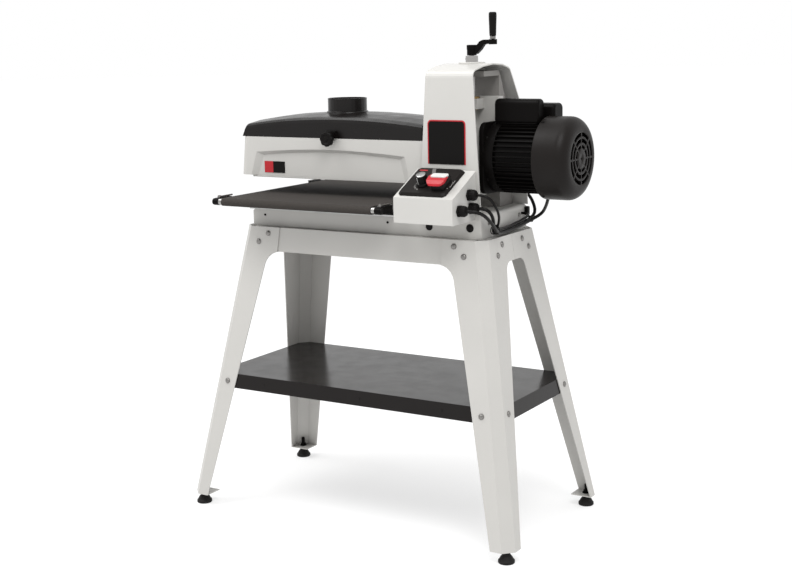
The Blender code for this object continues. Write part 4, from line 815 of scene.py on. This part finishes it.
def gland(name, y, z):
    """Cable gland: hexagon against the box, ribbed dome nut and rubber throat."""
    nut = prism(hexagon(0.0150), "Z", 0.0004, 0.0058)
    levels = (
        (0.0058, 0.0120, 0.0), (0.0066, 0.0134, 0.0008), (0.0160, 0.0134, 0.0008),
        (0.0200, 0.0112, 0.0002), (0.0218, 0.0080, 0.0),
    )
    dome = ribbed(levels, 64, lambda i: float(i % 4 < 2))
    throat = [(0.0200, 0.0048), (0.0200, 0.0066), (0.0235, 0.0060), (0.0240, 0.0048)]
    shape = join(nut, dome, lathe(throat, "Z", segments=32))
    shape = moved(shape, facing((BOX_RIGHT, y, z), (1, 0, 0)))
    soften(piece(name + "_fitting", shape, "plastic", "base", (name,)), 0.0004)


def wiring():
    """Glands, the two leads, the power cord and the ties."""
    for name, y, z in (
        ("gland_top", -0.1500, 0.8700),
        ("gland_front", -0.1990, 0.8370),
        ("gland_rear", -0.1420, 0.8370),
    ):
        gland(name, y, z)
    leads()
    power_cord()


# ---- stand and base details


def leg_reach(z):
    """Half spreads of a leg's side crease at a height, measured from the stand's middle."""
    t = (STAND_TOP - z) / (STAND_TOP - LEG_BOTTOM)
    return tuple(top + (bottom - top) * t for top, bottom in zip(LEG_SPREAD_TOP, LEG_SPREAD_BOTTOM))


def bolt_head(radius, height):
    """Domed bolt head with a flange, drawn on the XY plane."""
    flange = height * 0.34
    profile = [(0.0, 0.0), (0.0, radius * 1.25), (height * 0.28, radius * 1.22), (flange, radius)]
    for i in range(1, 6):
        angle = math.radians(18.0 * i)
        profile.append((height * (0.34 + 0.66 * math.sin(angle)), max(0.0, radius * math.cos(angle))))
    profile[-1] = (height, 0.0)
    return lathe(profile, "Z", segments=28)


def bolts(places, radius, height):
    """Bolt heads at a list of places, as one shape."""
    return join(*(moved(bolt_head(radius, height), place) for place in places))


def stand_bolts():
    """Zinc carriage bolts through the legs' flanges into the rails and the shelf."""
    front_low, side_low = 0.345, 0.346
    front_spots = ((0.279, 0.742), (0.308, 0.719), (leg_reach(front_low)[0] - 0.0485, front_low))
    side_spots = ((0.055, 0.740), (0.084, 0.7165), (leg_reach(side_low)[1] - 0.0240, side_low))
    places = []
    for side in (-1, 1):
        for end in (-1, 1):
            for x, z in front_spots:
                spot = (STAND_X + side * x, end * (leg_reach(z)[1] + LEG_CORNER), z)
                places.append(facing(spot, (0.0, end, LEG_LEAN_Y)))
            for y, z in side_spots:
                spot = (STAND_X + side * leg_reach(z)[0], end * y, z)
                places.append(facing(spot, (side, 0.0, LEG_LEAN_X)))
    piece("stand_bolts", bolts(places, 0.0061, 0.0044), "zinc", "base")


def plug_cap(radius):
    """Moulded hole plug: a low dome with a rolled rim."""
    shape = (
        (0.0, 0.0), (0.0, 1.0), (0.0009, 1.0), (0.0016, 0.93), (0.0014, 0.80), (0.0022, 0.70),
        (0.0026, 0.35), (0.0027, 0.0),
    )
    return lathe([(along, radius * share) for along, share in shape], "Z", segments=36)


def base_details():
    """Hole plugs, screws and the cord clamp on the base casting."""
    front = (0.0, -1.0, 0.0)
    caps = (
        (0.2770, 0.7850, 0.0102), (0.1630, 0.7830, 0.0098), (-0.3390, 0.7865, 0.0030),
        (0.0425, 0.7865, 0.0030),
    )
    shapes = [moved(plug_cap(radius), facing((x, BASE_FRONT, z), front)) for x, z, radius in caps]
    piece("base_plugs", join(*shapes), "plastic", "base")
    under = [facing((x, -0.2100, 0.8050), (0, 0, -1)) for x in (0.1420, 0.2780)]
    flank = [facing((0.3080, y, 0.7950), (1, 0, 0)) for y in (-0.0800, 0.0850)]
    shape = join(bolts(under, 0.0035, 0.0022), bolts(flank, 0.0045, 0.0030))
    piece("base_screws", shape, "zinc", "base")
    clip = prism(rounded((0.1130, 0.1250), (0.7900, 0.8130), 0.0040), "X", 0.3084, 0.3190)
    soften(piece("cord_clamp", clip, "plastic", "base"), 0.0015)


def feet():
    """Levelling feet: ribbed cone pad, stud, nut and washer."""
    pad = [
        (0.0, 0.0), (0.0, 0.0190), (0.0020, 0.0205), (0.0070, 0.0203), (0.0095, 0.0182),
        (0.0105, 0.0172), (0.0150, 0.0150), (0.0190, 0.0118), (0.0210, 0.0100),
        (0.0235, 0.0095), (0.0235, 0.0),
    ]
    stud = [(0.0230, 0.0), (0.0230, 0.0048), (0.0560, 0.0048), (0.0575, 0.0036), (0.0575, 0.0)]
    for end_name, end in (("front", -1), ("rear", 1)):
        for side_name, side in (("left", -1), ("right", 1)):
            name = f"foot_{end_name}_{side_name}"
            centre = (STAND_X + side * FOOT_X, end * FOOT_Y)
            cone = lathe(pad, "Z", centre, 40)
            piece(name + "_pad", cone, "rubber", "base", (name,))
            nut = prism(hexagon(0.0078, centre), "Z", 0.0334, 0.0400)
            washer = lathe(rod(0.0328, 0.0342, 0.0100), "Z", centre, 28)
            shape = join(lathe(stud, "Z", centre, 24), nut, washer)
            piece(name + "_stud", shape, "motor", "base", slot="foot_rubber")


def shelf_rivets():
    """Three small rivets in each long lip of the shelf."""
    z = 0.3450
    rivets = []
    for x in (-0.30, 0.0, 0.24):
        for end in (-1, 1):
            spot = (x, end * (leg_reach(z)[1] + 0.0205), z)
            rivets.append(moved(plug_cap(0.0030), facing(spot, (0.0, end, 0.16))))
    piece("shelf_rivets", join(*rivets), "shelf", "base")


# ---- conveyor details


def conveyor_details():
    """Roller end caps, take-up rods and adjusting screws at the table's corners."""
    rods, caps = [], []
    for side in (-1, 1):
        face = BELT_X + side * BRACKET_FACE
        out = face + side * 0.0158
        low, high = sorted((out, out + side * 0.0030))
        cap = [(low, 0.0), (low, 0.0082), (high, 0.0068), (high, 0.0)]
        spot = (face + side * 0.0075, ROLLER_Z + 0.0118)
        for end in (-1, 1):
            caps.append(lathe(cap, "X", (end * ROLLER_Y, ROLLER_Z), 32))
            for near, far, radius, sides in ((0.1750, 0.2250, 0.0024, 16), (0.2250, 0.2310, 0.0045, 6)):
                profile = rod(*sorted((end * near, end * far)), radius)
                rods.append(lathe(profile, "Y", spot, sides))
    piece("roller_end_caps", join(*caps), "plastic", "base")
    piece("take_up_screws", join(*rods), "zinc", "base")


# ---- tower details


def plate_outline(x, z, radius):
    """Plate with a rounded top and square bottom corners."""
    top = arc((x[1] - radius, z[1] - radius), radius, 0, 90, 6)
    top += arc((x[0] + radius, z[1] - radius), radius, 90, 180, 6)
    return [(x[0], z[0]), (x[1], z[0]), *top]


def tower_plate():
    """Blank name plate on the tower's front, with a red border on three sides."""
    x, z, margin = (0.1590, 0.2640), (0.9370, 1.0440), 0.0030
    outline = plate_outline(x, z, 0.0100)
    border = prism(outline, "Y", TOWER_FRONT - 0.0010, TOWER_FRONT - 0.0002)
    piece("tower_plate_border", border, "badge_red", "base")
    outline = plate_outline((x[0] + margin, x[1] - margin), (z[0], z[1] - margin), 0.0075)
    plate = prism(outline, "Y", TOWER_FRONT - 0.0014, TOWER_FRONT - 0.0008)
    piece("tower_plate", plate, "badge_black", "base")


def tower_top():
    """Bearing plate on the tower, and the leadscrew's collar with its set screw."""
    axis = (CRANK_X, 0.0)
    plate = [(1.1690, 0.0130), (1.1690, 0.0330), (1.1778, 0.0330), (1.1790, 0.0322), (1.1794, 0.0130)]
    piece("bearing_plate", lathe(plate, "Z", axis, 56), "cover", "base")
    collar = [
        (1.1800, 0.0085), (1.1800, 0.0128), (1.1810, 0.0138), (1.1925, 0.0138),
        (1.1935, 0.0128), (1.1940, 0.0085),
    ]
    piece("screw_collar", lathe(collar, "Z", axis, 48), "zinc", "crank")
    screw = bolts([facing((CRANK_X - 0.0137, -0.0020, 1.1870), (-1, -0.1, 0))], 0.0032, 0.0030)
    piece("collar_screw", screw, "motor", "crank")


def crank_details():
    """Bosses at both ends of the crank's arm, and the grip with a steel ring under it."""
    axis, eye = (CRANK_X, 0.0), (CRANK_X + 0.0584, 0.0)
    cap = [(1.2100, 0.0), (1.2100, 0.0126), (1.2198, 0.0126), (1.2210, 0.0114), (1.2210, 0.0)]
    lug = [
        (1.2215, 0.0), (1.2215, 0.0094), (1.2225, 0.0104), (1.2330, 0.0104), (1.2340, 0.0094),
        (1.2340, 0.0),
    ]
    bosses = join(lathe(cap, "Z", axis, 40), lathe(lug, "Z", eye, 40))
    piece("crank_bosses", bosses, "motor", "crank")
    grip = [
        (1.2410, 0.0036), (1.2410, 0.0068), (1.2425, 0.0080), (1.2500, 0.0085),
        (1.2640, 0.0088), (1.2800, 0.0094), (1.2900, 0.0097), (1.2960, 0.0094),
        (1.2982, 0.0082), (1.2990, 0.0060), (1.2990, 0.0), (1.2860, 0.0), (1.2860, 0.0036),
    ]
    handle = lathe(grip, "Z", eye, 40)
    piece("grip_handle", handle, "plastic", "crank_handle", ("crank_grip",))
    washer = [
        (1.2345, 0.0036), (1.2345, 0.0066), (1.2353, 0.0072), (1.2400, 0.0072),
        (1.2408, 0.0066), (1.2408, 0.0036),
    ]
    piece("grip_ring", lathe(washer, "Z", eye, 32), "zinc", "crank_handle")


# ---- control box details


def slope_frame(x, along, lift=0.0):
    """Matrix whose +Z is the panel's normal at a point on the slope."""
    y = BOX_FRONT + along * math.cos(SLOPE) - lift * math.sin(SLOPE)
    z = BOX_LIP + along * math.sin(SLOPE) + lift * math.cos(SLOPE)
    return Matrix.Translation((x, y, z)) @ Matrix.Rotation(SLOPE, 4, "X")


def feed_knob():
    """Fluted knob with two white pointer lines and a brushed metal cap."""
    place = slope_frame(KNOB_X, KNOB_ALONG)
    foot = PANEL_TOP + 0.0008
    levels = (
        (foot, 0.0160, 0.0), (0.0128, 0.0162, 0.0), (0.0150, 0.0150, 0.0),
        (0.0160, 0.0140, 0.0009), (0.0330, 0.0137, 0.0009), (0.0350, 0.0132, 0.0),
        (0.0360, 0.0124, 0.0),
    )
    spindle = lathe(rod(-0.006, foot + 0.001, 0.0038), "Z")
    body = moved(join(fluted(levels, 16), spindle), place)
    piece("feed_knob_body", body, "plastic", "feed_knob", ("speed_knob",))
    cap = [(0.0358, 0.0), (0.0358, 0.0121), (0.0372, 0.0118), (0.0378, 0.0106), (0.0380, 0.0)]
    piece("feed_knob_cap", moved(lathe(cap, "Z"), place), "silver", "feed_knob")
    lines = []
    for heading in (-112.0, 68.0):
        line = prism(rectangle((0.0128, 0.0141), (-0.0005, 0.0005)), "Z", 0.0160, 0.0345)
        lines.append(moved(line, place @ Matrix.Rotation(math.radians(heading), 4, "Z")))
    piece("feed_knob_lines", join(*lines), "white", "feed_knob", slot="black_plastic")


def flat_mark(outline, place):
    """A printed mark as a very thin plate."""
    return moved(prism(outline, "Z", 0.0, 0.0002), place)


def panel_marks():
    """Growing speed scale, edge line, dash and bar printed on the panel, without letters."""
    top = PANEL_TOP + 0.00005
    ticks = []
    for i in range(9):
        turn = Matrix.Rotation(math.radians(125.0 + 16.0 * i), 4, "Z")
        tick = rectangle((0.0198, 0.0216 + 0.0004 * i), (-0.0005, 0.0005))
        ticks.append(flat_mark(tick, slope_frame(KNOB_X, KNOB_ALONG, top) @ turn))
    edge = rectangle((-0.0004, 0.0004), (-0.0150, 0.0150))
    ticks.append(flat_mark(edge, slope_frame(0.2660, 0.0560, top)))
    piece("panel_scale", join(*ticks), "marks", "base")
    dash = rounded((-0.0110, 0.0110), (-0.0022, 0.0022), 0.0008, 3)
    dash = flat_mark(dash, slope_frame(0.1585, 0.1120, top))
    piece("panel_dash", dash, "badge_red", "base")
    bar = [(-0.0050, 0.0150), (0.0050, 0.0150), (0.0180, -0.0180), (0.0080, -0.0180)]
    bar = flat_mark(bar, slope_frame(0.1840, 0.1060, top))
    piece("panel_bar", bar, "band", "base")


def switch_details():
    """White grip plate on the paddle, and the two bright screws of the switch."""
    fall, run, pivot = 0.0020, 0.0140, 0.0010
    seat = Matrix.Translation((0.0, -pivot, 0.0346)) @ Matrix.Rotation(-math.atan2(fall, run), 4, "X")
    place = slope_frame(SWITCH_X, SWITCH_ALONG) @ seat @ Matrix.Translation((0.0, pivot, 0.0))
    outline = rounded((-0.0225, 0.0205), (-0.0060, 0.0145), 0.0060, 6)
    plate = moved(prism(outline, "Z", -0.0026, 0.0010), place)
    soften(piece("paddle_plate", plate, "white", "paddle"), 0.0004)
    places = [slope_frame(SWITCH_X + 0.0210, SWITCH_ALONG + y, PANEL_TOP) for y in (-0.0120, 0.0160)]
    piece("switch_screws", bolts(places, 0.0018, 0.0012), "zinc", "base")


# ---- head details


def head_details():
    """Blank two-colour plate on the head's front, and screws on its left end."""
    face, middle = -0.0955, -0.3240
    for name, x, key in (
        ("head_plate_left", (-0.3520, middle), "badge_red"),
        ("head_plate_right", (middle, -0.2865), "badge_black"),
    ):
        plate = prism(rounded(x, (0.8965, 0.9265), 0.0006, 2), "Y", face - 0.0012, face + 0.0003)
        piece(name, plate, key, "head")
    places = [facing((-0.4235, y, 0.9200), (-1.0, 0.0, 0.10)) for y in (-0.0600, 0.0600)]
    piece("head_screws", bolts(places, 0.0040, 0.0026), "zinc", "head")


def head_lip():
    """Rolled lower edge of the head's front wall, above the belt."""
    lip = prism(rounded((-0.0955, -0.0915), (0.8838, 0.8905), 0.0012, 3), "X", -0.3920, 0.1000)
    piece("head_lip", lip, "casting", "head")


def lid_knob():
    """Lobed clamp knob with a stepped face, and its neck."""
    axis, lobe = (LID_KNOB[0], LID_KNOB[2]), 0.0017
    levels = (
        (-0.1172, 0.0095, 0.0), (-0.1190, 0.0175, lobe), (-0.1205, 0.0193, lobe),
        (-0.1285, 0.0193, lobe), (-0.1305, 0.0178, lobe), (-0.1310, 0.0120, 0.0),
        (-0.1300, 0.0105, 0.0), (-0.1300, 0.0060, 0.0), (-0.1316, 0.0050, 0.0),
    )
    neck = lathe(rod(-0.1174, -0.1114, 0.0088), "Y", axis, 32)
    shape = join(fluted(levels, 8, "Y", axis), neck)
    piece("clamp_knob_body", shape, "plastic", "clamp_knob", ("cover_knob",))


def port_beads():
    """Rolled beads at the foot and the lip of the dust port."""
    lip = [(1.0860, 0.0506), (1.0866, 0.0513), (1.0880, 0.0513), (1.0887, 0.0506)]
    foot = [(1.0500, 0.0505), (1.0500, 0.0560), (1.0540, 0.0545), (1.0565, 0.0505)]
    beads = join(lathe(lip, "Z", PORT, 72), lathe(foot, "Z", PORT, 72))
    piece("port_beads", beads, "lid", "cover")


# ---- motor details


def ring_bolts(turns, x, reach, radius, height):
    """Bolt heads that point outwards round the motor's axis, at angles in degrees."""
    places = []
    for turn in turns:
        angle = math.radians(turn)
        out = Vector((0.0, math.cos(angle), math.sin(angle)))
        places.append(facing(Vector((x, 0.0, DRUM_Z)) + out * reach, out))
    return bolts(places, radius, height)


def motor_frame():
    """Finned motor frame with plain bells at both ends and a square flange."""
    axis = (0.0, DRUM_Z)
    outline = []
    for i in range(FINS):
        for share, radius in FIN_SHAPE:
            angle = 2.0 * math.pi * (i + 0.5 + share) / FINS
            outline.append((radius * math.cos(angle), DRUM_Z + radius * math.sin(angle)))
    barrel = prism(outline, "X", 0.3215, 0.4360)
    left = [
        (0.2862, 0.0115), (0.2862, 0.0830), (0.2885, 0.0868), (0.2930, 0.0884),
        (0.3180, 0.0884), (0.3220, 0.0872), (0.3220, 0.0115),
    ]
    right = [(0.4358, 0.0115), (0.4358, 0.0870), (0.4400, 0.0860), (0.4418, 0.0820), (0.4418, 0.0115)]
    shape = join(barrel, lathe(left, "X", axis, 2 * FINS), lathe(right, "X", axis, 2 * FINS))
    piece("motor_frame", shape, "motor", "head", ("motor_body",))
    half = 0.0870
    square = prism(rounded((-half, half), (DRUM_Z - half, DRUM_Z + half), 0.0240), "X", 0.2862, 0.2980)
    soften(piece("motor_flange", square, "motor", "head"), 0.0015)
    screws = ring_bolts((35, 145, 215, 325), 0.3000, 0.0883, 0.0035, 0.0022)
    piece("bell_bolts", screws, "motor", "head")


def is_slot(radius, cell):
    """True where the cowl's flat end is pierced: three rings of eight curved slots."""
    for inner, outer, spoke in COWL_SLOTS:
        if inner < radius < outer:
            return spoke <= cell % SLOT_CELLS < SLOT_CELLS - spoke
    return False


def cowl_shell():
    """The fan cowl's outer surface, turned outwards, with the slots left open."""
    shoulder = 0.030
    rings = [(COWL_LEFT, 0.0996), (COWL_LEFT + 0.0012, COWL_R), (COWL_LEFT + 0.010, COWL_R)]
    rings += arc((COWL_RIGHT - shoulder, COWL_R - shoulder), shoulder, 90, 0, 12)
    rings += [(COWL_RIGHT, radius) for radius in COWL_RINGS]
    turns = [2.0 * math.pi * i / COWL_CELLS for i in range(COWL_CELLS)]
    bm = bmesh.new()
    rows = []
    for x, radius in rings:
        spots = [(x, radius * math.sin(turn), DRUM_Z + radius * math.cos(turn)) for turn in turns]
        rows.append([bm.verts.new(spot) for spot in spots])
    for (first, second), (a, b) in zip(zip(rows, rows[1:]), zip(rings, rings[1:])):
        flat = a[0] == b[0] == COWL_RIGHT
        for i in range(COWL_CELLS):
            if flat and is_slot(0.5 * (a[1] + b[1]), i):
                continue
            j = (i + 1) % COWL_CELLS
            bm.faces.new((first[i], first[j], second[j], second[i]))
    bmesh.ops.recalc_face_normals(bm, faces=bm.faces)
    end_faces = [face for face in bm.faces if face.calc_center_median().x > COWL_RIGHT - 0.001]
    if sum(face.normal.x for face in end_faces) < 0:
        bmesh.ops.reverse_faces(bm, faces=bm.faces)
    return bm


def cowl():
    """Fan cowl: rolled rim, plain skirt, wide round shoulder and a slotted flat end."""
    obj = mesh_object("fan_cowl", cowl_shell(), outward=False)
    obj.data.materials.append(MATS["cowl"])
    sheet = obj.modifiers.new("sheet", "SOLIDIFY")
    sheet.thickness = 0.0018
    sheet.offset = -1.0
    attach(obj, "head")
    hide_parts("fan_cover")
    screws = ring_bolts((62, 118, 242, 298), COWL_LEFT + 0.007, COWL_R, 0.0038, 0.0024)
    piece("cowl_screws", screws, "motor", "head", slot="cowl_paint")


def capacitor(name, x, y, z, node):
    """Pressed cover over a capacitor: rounded all over, with a flange at its foot."""
    shell = prism(rounded(y, z, 0.0135, 8), "X", *x)
    soften(piece(name, shell, "motor", "head", (node,)), 0.0075, 5, 60)
    outline = rounded((x[0] + 0.004, x[1] - 0.004), (y[0] - 0.0015, y[1] + 0.0015), 0.004)
    flange = prism(outline, "Z", z[0] + 0.0035, z[0] + 0.0055)
    piece(name + "_flange", flange, "motor", "head")


def motor_details():
    """Frame, cowl, the two capacitor covers and the block under the motor's foot."""
    motor_frame()
    cowl()
    start = ((0.3010, 0.4200), (-0.0360, 0.0010), (1.0290, 1.0920))
    capacitor("start_cover", *start, "start_capacitor_cover")
    run = ((0.3500, 0.4415), (0.0080, 0.0615), (1.0130, 1.0795))
    capacitor("run_cover", *run, "run_capacitor_cover")
    block = prism(rounded((0.2560, 0.2850), (-0.0740, -0.0100), 0.004), "Z", 0.8600, 0.8780)
    soften(piece("motor_foot_block", block, "casting", "head"), 0.0015)


# ---- main


def main():
    """Build the camera, the studio and every detail."""
    MATS.update(palette())
    camera()
    studio()
    finish_cad()
    for build in (
        stand_bolts,
        base_details,
        feet,
        shelf_rivets,
        conveyor_details,
        tower_plate,
        tower_top,
        crank_details,
        feed_knob,
        panel_marks,
        switch_details,
        head_details,
        head_lip,
        lid_knob,
        port_beads,
        motor_details,
        wiring,
    ):
        build()


main()
